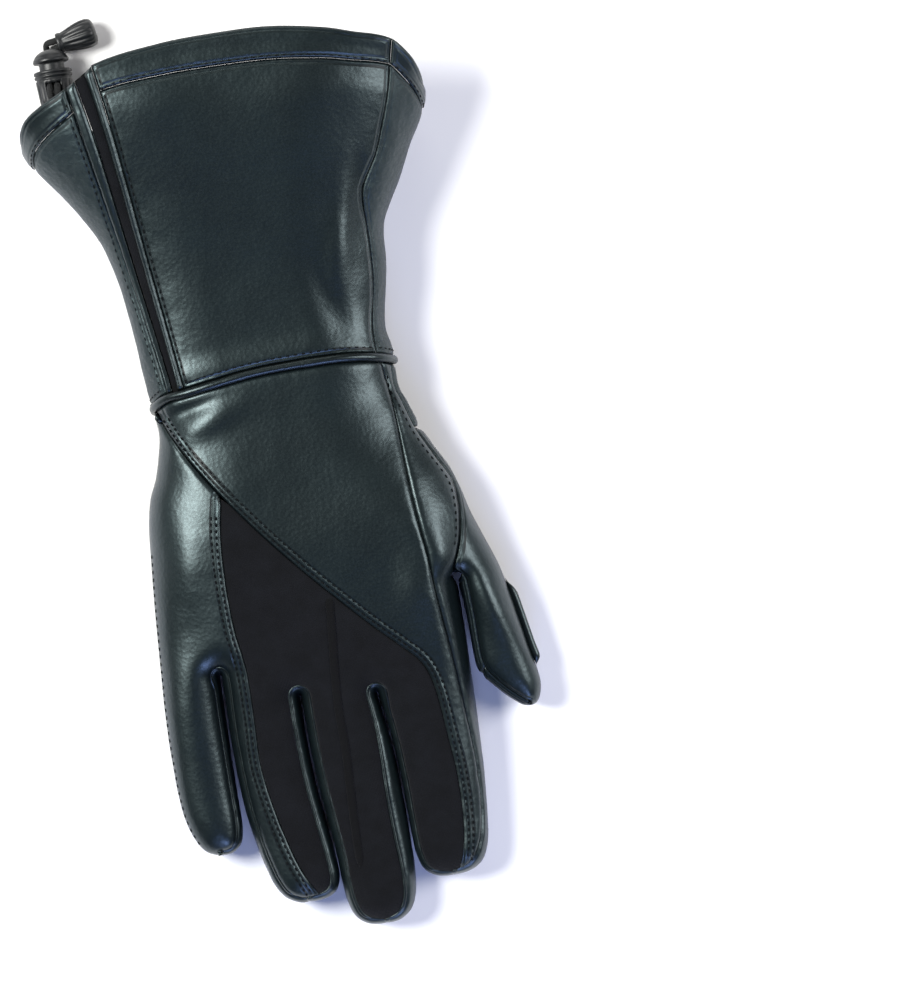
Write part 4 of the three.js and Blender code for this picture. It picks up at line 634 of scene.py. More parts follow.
    @staticmethod
    def ray(p: Array, q: Array) -> Callable[[Array], Array]:
        """A straight edge from p to q."""
        a, b = np.asarray(p, float), np.asarray(q, float)
        return lambda t: a + (b - a) * np.asarray(t, float)[..., None]

    def outer_under(self, t: Array) -> Array:
        """How far the outer panel turns under the little finger's edge."""
        return self.outer_turn + swell((t - 0.9) / 0.1)

    def index_under(self, t: Array) -> Array:
        """How far the side panel turns under the index finger's edge."""
        return self.index_turn + 1.6 * swell((t - 0.85) / 0.15)

    @staticmethod
    def thumb_top(t: Array) -> Array:
        """How far the back of the thumb reaches over its inner side."""
        return 2.9 - 0.9 * t

    def shares(self, length: float, cell: float | None = None) -> Array:
        """Shares of a length, a cell apart."""
        return np.linspace(0, 1, max(3, math.ceil(length / (cell or self.cell))) + 1)

    def columns(self, count: int) -> Array:
        """Shares across a band, for a count of main columns."""
        return np.linspace(0, 1, count * self.cell_across + 1)

    @staticmethod
    def _pull(plan: Array, heads: Array, feet: Array, us: Array, edges: dict) -> Array:
        """Moves a grid's ends onto the curves of the wrist or the mouth."""
        out = plan.copy()
        if edges.get("head"):
            out[..., 1] += (edges["head"](heads[..., 0]) - heads[..., 1]) * fade(us / 0.4)[:, None]
        if edges.get("foot"):
            shift = edges["foot"](feet[..., 0]) - feet[..., 1]
            out[..., 1] += shift * fade((1 - us) / 0.4)[:, None]
        return out

    def band(self, us: Array, vs: Array, left: Edge, right: Edge, side: Side,
             **edges: Table) -> Array:
        """A grid of skin points between two lines.

        Args:
            us: shares along the lines.
            vs: shares from the left line to the right one.
            left: first line.
            right: second line.
            side: the back or the palm.
            **edges: height curves that the head and foot rows follow.

        Returns:
            Points by row and column.
        """
        v = vs[None, :, None]

        def rows(t: Array) -> Array:
            a, b = self._at(left, t), self._at(right, t)
            return a[:, None, :] * (1 - v) + b[:, None, :] * v

        plan = self._pull(rows(us), rows(np.zeros(1)), rows(np.ones(1)), us, edges)
        return self._outward(self.form.skin(plan, side), side.value, len(vs))

    def wrap(self, us: Array, upper: Edge, rim: PlanLine, lower: Edge, tops: int = 4,
             unders: int = 3, **edges: Table) -> Array:
        """A grid that runs from a line on the back over the outline to a line on the palm.

        Args:
            us: shares along the lines.
            upper: line on the back.
            rim: the outline itself.
            lower: line on the palm.
            tops: main columns on the back.
            unders: main columns on the palm.
            **edges: height curves for the back (head, foot) and palm (head_under, foot_under).

        Returns:
            Points by row and column.
        """
        parts = []
        for line, side, count, keys in (
            (upper, Side.BACK, tops, ("head", "foot")),
            (lower, Side.PALM, unders, ("head_under", "foot_under")),
        ):
            e = np.linspace(1, 0, count * self.cell_across + 1)[:-1]
            e = e if side is Side.BACK else e[::-1]
            w = (e**2)[None, :, None]

            def rows(t: Array) -> Array:
                return self._at(rim, t)[:, None, :] * (1 - w) + self._at(line, t)[:, None, :] * w

            chosen = {"head": edges.get(keys[0]), "foot": edges.get(keys[1])}
            plan = self._pull(rows(us), rows(np.zeros(1)), rows(np.ones(1)), us, chosen)
            parts.append(self.form.skin(plan, side))
            if side is Side.BACK:
                p = rim.at(us)
                parts.append(np.concatenate([p, self.form.half_at(p[:, 1])[:, None]], -1)[:, None])
        return self._outward(np.concatenate(parts, 1), Side.BACK.value, tops * self.cell_across - 1)

    @staticmethod
    def tipped(a: PlanLine, b: PlanLine) -> tuple[PlanLine, PlanLine]:
        """Two lines ended on the point midway between their ends."""
        p = blend(a.at(1.0), b.at(1.0), 0.5)
        return a.between(a.points[0], p), b.between(b.points[0], p)

    def hem_shares(self) -> Array:
        """Shares along the cuff that the hem covers."""
        return np.linspace(0, self.hem_share, 14)

    def cuff_shares(self) -> Array:
        """Shares along the cuff below the hem."""
        return np.linspace(self.hem_share + 0.0004, 1, 96)

    def cuff_back_panel(self, us: Array) -> list[Array]:
        """Back panel of the cuff, between the inner welt and the side seam."""
        g = self.seam_half
        left, right = self.cuff["back_left"].inset(g), self.cuff["back_right"].inset(-g)
        return [self.band(us, self.columns(19), left, right, Side.BACK, head=MOUTH_BACK,
                          foot=self.cuff_back)]

    def cuff_side_panel(self, us: Array) -> list[Array]:
        """Side panel of the cuff, round the little finger's edge."""
        g = self.seam_half
        return [self.wrap(us, self.cuff["side"].inset(-g), self.left_cuff,
                          self.under_left.inset(-g), 6, 3, head=MOUTH_BACK,
                          head_under=MOUTH_PALM, foot=self.cuff_back,
                          foot_under=self.cuff_palm)]

    def cuff_palm_panel(self, us: Array) -> list[Array]:
        """Palm panel of the cuff, which wraps round the thumb's edge."""
        g = self.seam_half
        under = self.under_left.inset(g)

        def fifth(t: Array) -> Array:
            return self.right_cuff.at(t) * 0.8 + under.at(t) * 0.2

        return [
            self.wrap(us, self.cuff["back_right"].inset(g), self.right_cuff, fifth, 5, 5,
                      head=MOUTH_BACK, head_under=MOUTH_PALM, foot=self.cuff_back,
                      foot_under=self.cuff_palm),
            self.band(us, self.columns(20), fifth, under, Side.PALM, head=MOUTH_PALM,
                      foot=self.cuff_palm),
        ]

    def cuff_strip_between(self, left: str, right: str) -> list[Array]:
        """A narrow strip of the cuff between two of its seams."""
        g = self.seam_half
        return [self.band(np.linspace(0, 1, 110), self.columns(2), self.cuff[left].inset(g),
                          self.cuff[right].inset(-g), Side.BACK, foot=self.cuff_back)]

    def outer_back_panel(self) -> list[Array]:
        """Back of the little finger and left half of the ring finger."""
        g = self.seam_half
        crotch = self.back["little"][0].points[0]
        root = self.left_hand.nearest(LITTLE_ROOT)
        under = self.left_hand.inset(self.outer_under).inset(-g)
        fork = self.double_seam.nearest((-27.2, -38.4))
        fabric_root = self.fabric_seam.nearest((-28.2, -103))
        fabric = self.fabric_seam.inset(-g)
        right = self.double_seam.inset(-g).part(0, fork).join(fabric.part(0.01, fabric_root))
        middle = spline([right.points[0], (-42.6, -20), (-40, -45), (-38.6, -80), crotch])
        ring_split = SLIT_RING.nearest(RING_SPLIT) * 0.9
        ring_left = self.back["little"][1].join(self.tops["ring"].part(0, ring_split))
        ring_left, ring_seam = self.tipped(ring_left, fabric.part(fabric_root, 1))
        palm_rows, finger_rows = self.shares(100), self.shares(ring_left.length)
        little_rows = self.shares(70)
        across = self.columns(3)
        return [
            self.wrap(palm_rows, middle, self.left_hand.part(0, root), under.part(0, root), 5, 2),
            self.band(palm_rows, across, middle, right, Side.BACK),
            self.wrap(little_rows, self.back["little"][0], self.left_hand.part(root, 1),
                      under.part(root, 1), 5, 2),
            self.band(finger_rows, across, ring_left, ring_seam, Side.BACK),
        ]

    def stretch_insert(self) -> list[Array]:
        """Fabric over half of the ring, the middle and half of the index finger."""
        g = self.seam_half
        apex = np.array([-26.7, -40.2])
        ring, middle = self.back["ring"][0].points[0], self.back["middle"][0].points[0]
        fork = self.fabric_seam.nearest((-28.2, -114))
        turn = self.double_seam.nearest((38.3, -115.6))
        fabric, double = self.fabric_seam.inset(g), self.double_seam.inset(-g)
        left = fabric.part(self.fabric_seam.nearest((-27.7, -43)), fork)
        left = PlanLine(np.vstack([apex, left.points]))
        right = double.part(self.double_seam.nearest((-24.6, -43)), turn)
        right = PlanLine(np.vstack([apex, right.points]))
        split = SLIT_RING.nearest(RING_SPLIT)
        ring_right, ring_seam = self.tipped(
            self.tops["ring"].part(split, RING_END).reversed(), fabric.part(fork, 1))
        middle_left, middle_right = self.tipped(self.back["ring"][1], self.back["middle"][0])
        index_split = SLIT_THUMB.nearest(INDEX_SPLIT) * 0.9
        index_left, index_right = self.tipped(
            self.back["middle"][1].join(SLIT_THUMB.inset(1.8 + g).part(0, index_split)),
            double.part(turn, 1))
        rows = self.shares(right.length)
        a, b, c = self.columns(3), self.columns(5), self.columns(4)
        to_ring, to_middle = self.ray(apex, ring), self.ray(apex, middle)
        return [
            self.band(rows, a, left, to_ring, Side.BACK),
            self.band(rows, b, to_ring, to_middle, Side.BACK),
            self.band(rows, c, to_middle, right, Side.BACK),
            self.band(self.shares(ring_right.length), a, ring_seam, ring_right, Side.BACK),
            self.band(self.shares(middle_left.length), b, middle_left, middle_right, Side.BACK),
            self.band(self.shares(index_left.length), c, index_left, index_right, Side.BACK),
        ]

    def main_back_panel(self) -> list[Array]:
        """Back panel from the wrist to the index fingertip."""
        g = self.seam_half
        left, right = self.tipped(self.double_seam.inset(g), self.index_seam.inset(-g))
        turn, root = left.nearest((38.8, -115.6)), right.nearest((49.5, -115.6))
        across = self.columns(14)
        return [
            self.band(self.shares(130), across, left.part(0, turn), right.part(0, root),
                      Side.BACK, head=self.hand_back),
            self.band(self.shares(85), across, left.part(turn, 1), right.part(root, 1), Side.BACK),
        ]

    def index_side_lines(self) -> tuple[PlanLine, PlanLine, PlanLine]:
        """The index finger's edge, the side panel's inner line and the thumb's inner edge."""
        fork = 0.2 / SLIT_THUMB.length
        edge = SLIT_THUMB.part(0, THUMB_END - fork).reversed()
        edge = edge.part(0, 1 - 0.1 / edge.length)
        inner = edge.inset(Table((0, 2.5), (0.12, 1.7), (0.3, 1.2), (0.8, 0.9), (1, 0.7)))
        return edge, inner, SLIT_THUMB.part(THUMB_END + fork, 1)

    def index_side_panel(self) -> list[Array]:
        """Panel beside the main one, then over the side of the index finger."""
        g = self.seam_half
        edge, inner, _ = self.index_side_lines()
        fork = self.index_seam.nearest((46.4, -82))
        thumb = self.thumb_seam.inset(-g)
        thumb = thumb.between(thumb.points[0], inner.points[0])
        split = SLIT_THUMB.nearest(INDEX_SPLIT) * 0.9
        tail = SLIT_THUMB.inset(1.8 - g).part(0.1 / SLIT_THUMB.length, split).reversed()
        side = self.index_seam.inset(g).part(fork, 0.985).join(tail)
        rows = self.shares(edge.length)
        turn = edge.inset(lambda t: self.index_under(t) - g)
        across = self.columns(2)
        return [
            self.band(self.shares(90), across, self.index_seam.inset(g).part(0, fork), thumb,
                      Side.BACK, head=self.hand_back),
            self.band(rows, across, side, inner, Side.BACK),
            self.wrap(rows, inner, edge, turn, 2, 2),
        ]

    def fourchette(self, key: str) -> list[Array]:
        """The side wall between two fingers."""
        line, _ = self.slits[key]
        end = 0.1 / line.length
        back, palm = (
            line.inset(lambda t, inset=table[key]: inset(t) - self.seam_half).part(end, 1 - end)
            for table in (self.back_inset, self.palm_inset)
        )
        run = line.part(end, 1 - end)
        return [self.wrap(self.shares(run.length, 0.9), back, run, palm, 2, 2)]

    def heel_pad(self, outer: bool) -> list[Array]:
        """One half of the heel pad, either side of its inner seam."""
        g = self.seam_half
        if outer:
            a, b = self.tipped(self.pad_left.inset(g).part(0.02, 0.98), self.pad_core.inset(-g))
        else:
            a, b = self.tipped(self.pad_core.inset(g), self.pad_right.inset(-g).part(0.02, 0.98))
        return [self.band(self.shares(46, 0.9), self.columns(3), a, b, Side.PALM)]

    def palm_lines(self) -> dict:
        """Lines that the palm panel and the finger palms share."""
        g = self.seam_half
        left = self.left_hand.inset(lambda t: self.outer_under(t) + g)
        root = self.left_hand.nearest(LITTLE_ROOT)
        edge, _, _ = self.index_side_lines()
        index = edge.inset(lambda t: self.index_under(t) + g)
        index_root = edge.nearest((54.6, -119.5))
        base = {
            "little": self.tipped(left.part(root, 1), self.palm["little"][0]),
            "ring": self.tipped(self.palm["little"][1], self.palm["ring"][0]),
            "middle": self.tipped(self.palm["ring"][1], self.palm["middle"][0]),
            "index": self.tipped(self.palm["middle"][1], index.part(index_root, 1)),
        }
        ring_full = base["ring"][0]
        ring_start = ring_full.nearest((-34.6, -114.6))
        base["ring"] = (ring_full.part(ring_start, 1), base["ring"][1])
        return {"left": left, "root": root, "index": index, "index_root": index_root,
                "base": base, "ring_full": ring_full, "ring_start": ring_start}

    def finger_palm(self, key: str, a: float, b: float, cell: float | None = None) -> Array:
        """The palm side of one finger between two shares of its length.

        Args:
            key: the finger.
            a: share where the piece begins.
            b: share where it ends.
            cell: distance between rows, in millimetres.

        Returns:
            The grid.
        """
        left, right = self.palm_lines()["base"][key]
        count = {"little": 2, "ring": 3, "middle": 4, "index": 3}[key]
        us = a + (b - a) * self.shares(left.length * (b - a), cell)
        return self.band(us, self.columns(count), left, right, Side.PALM)

    def palm_panel(self) -> list[Array]:
        """The palm, with its hole for the heel pad and its bay for the thumb."""
        g = self.seam_half
        lines = self.palm_lines()
        left, root = lines["left"], lines["root"]
        crotch = [self.palm[key][0].points[0] for key in ("little", "ring", "middle")]
        turn = np.array([-38.7, -85.0])
        edge = ((-47.6, -18.8), (-57.4, -57), (-59.8, -85))
        pl = [0.0, *(self.left_hand.nearest(p) for p in edge), root]
        gusset = self.gusset.inset(-g)
        pad_out, pad_in = self.pad_left.inset(-g), self.pad_right.inset(g)
        pad_head = blend(pad_out.points[0], pad_in.points[0], 0.5)
        pad_toe = blend(pad_out.points[-1], pad_in.points[-1], 0.5)
        pad_out, pad_in = pad_out.between(pad_head, pad_toe), pad_in.between(pad_head, pad_toe)

        def start(x: float) -> Array:
            return np.array([x, float(self.hand_palm(x))])

        core = spline([start(0), (0, -18), (-2, -60), (-7, -94), crotch[1]])
        co = [0.0, *(core.nearest(p) for p in ((0, -18), (-2, -60), (-7, -94))), 1.0]
        wedge = self.wedge.inset(g)
        g0 = gusset.points[0]
        g1 = blend(gusset.points[-1], wedge.points[-1], 0.5) - (0, 0.6)
        gusset, wedge = gusset.between(g0, g1), wedge.between(wedge.points[0], g1)
        gu = self.gusset.nearest((12, -60))
        index, index_root = lines["index"], lines["index_root"]
        rows = [self.shares(length) for length in (20, 44, 32, 24)]
        n3 = self.columns(3)
        to_middle = self.ray(g1, crotch[2])
        pad_start, right_start = self.ray(start(-37), pad_head), self.ray(start(36.6), g0)
        toe_turn, turn_crotch = self.ray(pad_toe, turn), self.ray(turn, crotch[0])
        thumb_top = self.thumb_seam.inset(g).part(0, self.thumb_seam.nearest((49.1, -25)))
        rim = self.right_hand.part(0, self.right_hand.nearest((50.6, -25)))

        def fan(t: Array) -> Array:
            return np.broadcast_to(crotch[1], (*np.shape(t), 2))

        toe = [toe_turn, turn_crotch]
        outer, cores = ([line.part(*cuts[i : i + 2]) for i in range(4)]
                        for line, cuts in ((left, pl), (core, co)))
        right = [right_start, gusset.part(0, gu), gusset.part(gu, 1), to_middle]
        heads = [{"head": self.hand_palm}, {}, {}, {}]
        grids = [
            self.band(us, self.columns(count), a, b, Side.PALM, **head)
            for count, first, second in ((2, outer, [pad_start, pad_out, *toe]),
                                         (3, [pad_start, pad_in, *toe], cores), (4, cores, right))
            for us, a, b, head in zip(rows, first, second, heads)
        ]
        part = index_root * 0.62
        grids += [
            self.wrap(rows[0], thumb_top, rim, right_start, 2, 3, head=self.hand_back,
                      head_under=self.hand_palm),
            self.band(self.shares(20), n3, wedge, index.part(1.6 / index.length, part), Side.PALM),
            self.band(rows[3], n3, to_middle, index.part(part, index_root), Side.PALM),
            self.band(self.shares(14), n3, lines["ring_full"].part(0, lines["ring_start"]), fan,
                      Side.PALM),
        ]
        return grids + [self.finger_palm(key, 0, end) for key, (end, _) in RIBS.items()]

    def thumb_lines(self) -> dict:
        """Lines that the thumb's pieces share."""
        g = self.seam_half
        _, _, side = self.index_side_lines()
        outer = self.right_hand.part(self.right_hand.nearest((51, -26)), 1)
        upper = self.thumb_seam.inset(g).part(self.thumb_seam.nearest((49.6, -26)), 0.985)
        upper = upper.join(side.inset(self.thumb_top).part(0.02, 1))
        return {"side": side, "outer": outer, "upper": upper,
                "fork": self.centre_seam.nearest((62.6, -81)),
                "crotch": side.inset(3.2).points[0]}

    def thumb_back(self) -> list[Array]:
        """Back of the thumb, over its outer edge to the centre seam."""
        lines = self.thumb_lines()
        rows = self.shares(lines["outer"].length) * (1 - 0.1 / lines["outer"].length)
        return [self.wrap(rows, lines["upper"], lines["outer"],
                          self.centre_seam.inset(self.seam_half), 4, 3)]

    def thumb_tube(self, a: float, b: float) -> list[Array]:
        """The inner side of the thumb between two shares of its length."""
        g = self.seam_half
        lines = self.thumb_lines()
        side = lines["side"]
        under = side.inset(lambda t: 3.2 + 1.4 * swell((t - 0.85) / 0.15))
        us = a + (b - a) * self.shares(side.length * (b - a))
        centre = self.centre_seam.inset(-g).part(lines["fork"], 0.99)
        top = side.inset(lambda t: self.thumb_top(t) - 2 * g)
        return [self.wrap(us, top, side, under, 2, 2),
                self.band(us, self.columns(2), under, centre, Side.PALM)]

    def thumb_palm(self) -> list[Array]:
        """Palm of the thumb with its ball, sewn into the palm along the gusset."""
        g = self.seam_half
        lines = self.thumb_lines()
        end = self.gusset.nearest((18, -84.4))
        top, wedge_top = np.array([37.6, -18.0]), np.array([40.6, -80.6])
        gusset, centre = self.gusset.inset(g), self.centre_seam.inset(-g)
        ball = spline([top, (38.6, -32), (42, -50), (49, -70), lines["crotch"]])
        rows = self.shares(72)
        n1, n2, n3 = self.columns(1), self.columns(2), self.columns(3)
        wedge = self.wedge.inset(-g)

        def to_wedge(t: Array) -> Array:
            w = fade(t * 2)[..., None]
            return wedge.at(t) * (1 - w) + wedge_top * w

        ray = self.ray(top, wedge_top)
        return [
            self.band(rows, n3, gusset.part(0.02, end), ray, Side.PALM),
            self.band(rows, n1, ray, ball, Side.PALM),
            self.band(rows, n2, ball, centre.part(0.02, lines["fork"]), Side.PALM),
            self.band(self.shares(22), n3, gusset.part(end, 0.99), to_wedge, Side.PALM),
            *self.thumb_tube(0, CROSS_SEAM),
        ]


@dataclass(frozen=True)
class Relief:
    """How a panel is worked: its rolled edges, its puff and its creases, in millimetres."""

    lift: float = 0.0
    roll: float = 0.6
    roll_width: float = 0.9
    puff: float = 0.25
    puff_width: float = 3.0
    pucker: float = 0.16
    wrinkle: float = 0.28
    wall: float = 1.3
    ribs: float = 0.0
    rib_pitch: float = 1.5
    gather: float = 0.0
    stitched: bool = True


class Finish:
    """Builds node materials."""

    def __init__(self, name: str) -> None:
        """Starts a material with a bare Principled shader."""
        self.material = bpy.data.materials.new(name)
        self.material.use_nodes = True
        self.tree = self.material.node_tree
        self.shader = self.tree.nodes["Principled BSDF"]
        self.place = self.node("ShaderNodeTexCoord").outputs["Object"]

    def node(self, kind: str, **values: object) -> bpy.types.Node:
        """Adds a node and sets its attributes or inputs by name."""
        made = self.tree.nodes.new(kind)
        for key, value in values.items():
            if key in made.inputs:
                made.inputs[key].default_value = value
            else:
                setattr(made, key, value)
        return made

    def link(self, out: Socket, into: Socket) -> None:
        """Joins two sockets."""
        self.tree.links.new(out, into)

    def texture(self, kind: str, out: str = "Fac", **values: object) -> Socket:
        """A texture over the object's own coordinates."""
        made = self.node(kind, **values)
        self.link(self.place, made.inputs["Vector"])
        return made.outputs[out]

    def noise(self, scale: float, detail: float, roughness: float = 0.6) -> Socket:
        """Noise over the object's own coordinates."""
        return self.texture("ShaderNodeTexNoise", Scale=scale, Detail=detail, Roughness=roughness)

    def shine(self, values: dict[str, object]) -> None:
        """Sets the shader's inputs: a value, or a socket that feeds it."""
        for name, value in values.items():
            if isinstance(value, Socket):
                self.link(value, self.shader.inputs[name])
            else:
                self.shader.inputs[name].default_value = value

    def ramp(self, source: Socket, stops: list[tuple[float, tuple]]) -> Socket:
        """A colour ramp over a source."""
        made = self.node("ShaderNodeValToRGB")
        elements = made.color_ramp.elements
        while len(elements) < len(stops):
            elements.new(0.5)
        for element, (place, color) in zip(elements, stops):
            element.position = place
            element.color = (*color, 1.0)
        self.link(source, made.inputs["Fac"])
        return made.outputs["Color"]

    def spread(self, source: Socket, low: float, high: float, to_low: float,
               to_high: float) -> Socket:
        """Maps a source's range onto another range."""
        made = self.node("ShaderNodeMapRange")
        for name, value in zip(("From Min", "From Max", "To Min", "To Max"),
                               (low, high, to_low, to_high)):
            made.inputs[name].default_value = value
        self.link(source, made.inputs["Value"])
        return made.outputs["Result"]

    def bumps(self, layers: list[tuple[Socket, float, float]]) -> None:
        """Stacks bump layers of (height, strength, depth in metres) under the shader's normal."""
        normal = None
        for height, strength, depth in layers:
            made = self.node("ShaderNodeBump", Strength=strength, Distance=depth)
            self.link(height, made.inputs["Height"])
            if normal is not None:
                self.link(normal, made.inputs["Normal"])
            normal = made.outputs["Normal"]
        self.link(normal, self.shader.inputs["Normal"])


@dataclass(frozen=True)
class SeamShade:
    """How a panel's edge looks: its stitched valleys, and painted shade in the seam and in those
    valleys, in millimetres.
    """

    reach: float = 6.0
    width: float = 0.5
    depth: float = 0.0004

    def distance(self, finish: Finish, name: str) -> Socket:
        """A distance kept on the mesh, as a share of the reach."""
        edge = finish.node("ShaderNodeAttribute", attribute_name=name)
        return finish.spread(edge.outputs["Fac"], 0.0, self.reach, 0.0, 1.0)

    def valleys(self, low: float) -> list[tuple[float, tuple]]:
        """Stops of a ramp that dips along both rows of stitches."""
        half = self.width / self.reach
        stops = [(0.0, 1.0)]
        for row in (FIRST_ROW, SECOND_ROW):
            at = row / self.reach
            stops += [(at - 1.5 * half, 1.0), (at, low), (at + 1.5 * half, 1.0)]
        return [(place, (v, v, v)) for place, v in stops]

    def height(self, finish: Finish) -> Socket:
        """Height of the valleys that the stitches pull in."""
        return finish.ramp(self.distance(finish, "row"), self.valleys(0.0))

    def shade(self, finish: Finish, tone: Socket) -> Socket:
        """The tone with painted shade: darker in the seam between panels and in the stitched
        valleys.
        """
        # Painted shade: the tone falls to 0.3 at the panel's edge in the seam, and to 0.8 along the
        # stitch valleys.
        seam = [(0.0, (0.3,) * 3), (0.12, (1.0,) * 3)]
        for name, stops in (("edge", seam), ("row", self.valleys(0.8))):
            dark = finish.ramp(self.distance(finish, name), stops)
            mixed = finish.node("ShaderNodeMix", data_type="RGBA", blend_type="MULTIPLY")
            mixed.inputs["Factor"].default_value = 1.0
            finish.link(tone, mixed.inputs[MIX_A])
            finish.link(dark, mixed.inputs[MIX_B])
            tone = mixed.outputs[MIX_OUT]
        return tone


@dataclass(frozen=True)
class LeatherFinish:
    """Black leather: its tone, how it shines and how coarse its grain is."""

    name: str
    dark: Color
    light: Color
    roughness: tuple[float, float]
    grain: float
    grain_depth: float
    coat: float
    sheen: tuple[float, float, float, float] = (0.72, 0.96, 1.0, 1.0)
    stretch: tuple[float, float, float] = (1.0, 1.0, 1.0)
    creases: float = 0.35
    seam: SeamShade = SeamShade()

    def build(self) -> Material:
        """Makes the material."""
        f = Finish(self.name)
        tone = f.ramp(f.noise(38.0, 5.0), [(0.32, self.dark), (0.7, self.light)])
        cells = f.texture("ShaderNodeTexVoronoi", "Distance", Scale=self.grain,
                          feature="SMOOTH_F1", Smoothness=0.35)
        pores = f.noise(self.grain * 2.4, 3.0, 0.65)
        mapping = f.texture("ShaderNodeMapping", "Vector", Scale=self.stretch)
        creases = f.node("ShaderNodeTexNoise", Scale=150.0, Detail=6.0, Roughness=0.62,
                         Distortion=0.9)
        f.link(mapping, creases.inputs["Vector"])
        # The base colour carries painted shade in the seam and in the stitch valleys, from
        # SeamShade.shade.
        f.shine({
            "Base Color": self.seam.shade(f, tone),
            "Roughness": f.spread(pores, 0.3, 0.7, *self.roughness),
            "Specular IOR Level": 0.5,
            "Specular Tint": self.sheen,
            "Coat Weight": self.coat,
            "Coat Roughness": 0.3,
        })
        f.bumps([
            (creases.outputs["Fac"], self.creases, 0.0006),
            (self.seam.height(f), 0.8, self.seam.depth),
            (cells, 0.55, self.grain_depth),
            (pores, 0.3, self.grain_depth * 0.6),
        ])
        return f.material


@dataclass(frozen=True)
class KnitFinish:
    """Matte black textile: its tone and the pitch of its weave."""

    name: str
    dark: Color
    light: Color
    pitch: float
    depth: float
    seam: SeamShade = SeamShade()

    def build(self) -> Material:
        """Makes the material."""
        f = Finish(self.name)
        weave = f.node("ShaderNodeMath", operation="MULTIPLY")
        for direction, side in zip("XY", weave.inputs):
            wave = f.texture("ShaderNodeTexWave", Scale=0.5 / self.pitch, Distortion=1.2,
                             Detail=2.0, bands_direction=direction, **{"Detail Scale": 2.0})
            f.link(wave, side)
        tone = f.ramp(f.noise(120.0, 5.0), [(0.35, self.dark), (0.68, self.light)])
        # The base colour carries painted shade in the seam along the panel's edge, from
        # SeamShade.shade.
        f.shine({
            "Base Color": self.seam.shade(f, tone),
            "Roughness": 0.95,
            "Specular IOR Level": 0.2,
            "Sheen Weight": 0.04,
            "Sheen Roughness": 0.5,
        })
        f.bumps([
            (self.seam.height(f), 0.8, self.seam.depth),
            (weave.outputs["Value"], 0.7, self.depth),
            (f.noise(900.0, 4.0, 0.7), 0.5, self.depth),
        ])
        return f.material


@dataclass(frozen=True)
class PlasticFinish:
    """Moulded black plastic."""

    name: str
    tone: Color
    roughness: float

    def build(self) -> Material:
        """Makes the material."""
        f = Finish(self.name)
        worn = f.noise(160.0, 4.0)
        lighter = tuple(min(1.0, c * 1.6) for c in self.tone)
        f.shine({
            "Base Color": f.ramp(worn, [(0.35, self.tone), (0.75, lighter)]),
            "Roughness": f.spread(worn, 0.3, 0.7, self.roughness, self.roughness + 0.14),
        })
        f.bumps([(f.noise(1400.0, 3.0), 0.2, 0.0001)])
        return f.material


@dataclass(frozen=True)
class BraidFinish:
    """A braided cord or sewing thread."""

    name: str
    tone: Color
    lines: float
    roughness: float = 0.75

    def build(self) -> Material:
        """Makes the material."""
        f = Finish(self.name)
        braid = f.texture("ShaderNodeTexWave", Scale=self.lines, Distortion=0.6, Detail=1.0,
                          bands_direction="DIAGONAL")
        lighter = tuple(min(1.0, c * 2.0) for c in self.tone)
        f.shine({
            "Base Color": f.ramp(braid, [(0.2, self.tone), (0.9, lighter)]),
            "Roughness": self.roughness,
            "Specular IOR Level": 0.4 * (1.0 - self.roughness) + 0.2,
        })
        f.bumps([(braid, 0.6, 0.0003), (f.noise(1500.0, 3.0, 0.7), 0.3, 0.0002)])
        return f.material


@dataclass(frozen=True)
class FloorFinish:
    """A pale studio floor."""

    name: str
    tone: float

    def build(self) -> Material:
        """Makes the material."""
        f = Finish(self.name)
        f.shine({"Base Color": (self.tone, self.tone, self.tone, 1.0), "Roughness": 0.9})
        return f.material


class Finishes:
    """All the finishes, by slot, with one for thread and one for the floor."""

    def __init__(self) -> None:
        """Builds each material once."""
        self.by_slot = {
            Slot.SMOOTH: LeatherFinish("smooth black leather", (0.0014, 0.0030, 0.0036),
                                       (0.0030, 0.0058, 0.0066), (0.32, 0.42), 620.0, 0.00010,
                                       0.15, creases=0.16).build(),
            Slot.GRAINED: LeatherFinish("grained black leather", (0.0026, 0.0050, 0.0058),
                                        (0.0060, 0.0102, 0.0116), (0.42, 0.56), 430.0, 0.0003,
                                        0.06, stretch=(0.7, 1.9, 1.0), creases=0.6).build(),
            Slot.STRETCH: KnitFinish("stretch twill", (0.0011, 0.0014, 0.0021),
                                     (0.0028, 0.0033, 0.0046), 0.0009, 0.0002).build(),
            Slot.RIB: KnitFinish("rib knit", (0.0025, 0.0025, 0.003), (0.0065, 0.0065, 0.0072),
                                 0.0007, 0.0002).build(),
            Slot.CORD: BraidFinish("black braid", (0.008, 0.0085, 0.009), 900.0).build(),
            Slot.PLASTIC: PlasticFinish("moulded black plastic", (0.006, 0.0072, 0.0085),
                                        0.38).build(),
        }
        self.thread = BraidFinish("black thread", (0.0015, 0.002, 0.0025), 1600.0, 0.95).build()
        self.floor = FloorFinish("pale floor", 0.9).build()

    def dress(self, piece: Piece, slot: Slot) -> None:
        """Gives a piece a slot's finish."""
        piece.data.materials.clear()
        piece.data.materials.append(self.by_slot[slot])


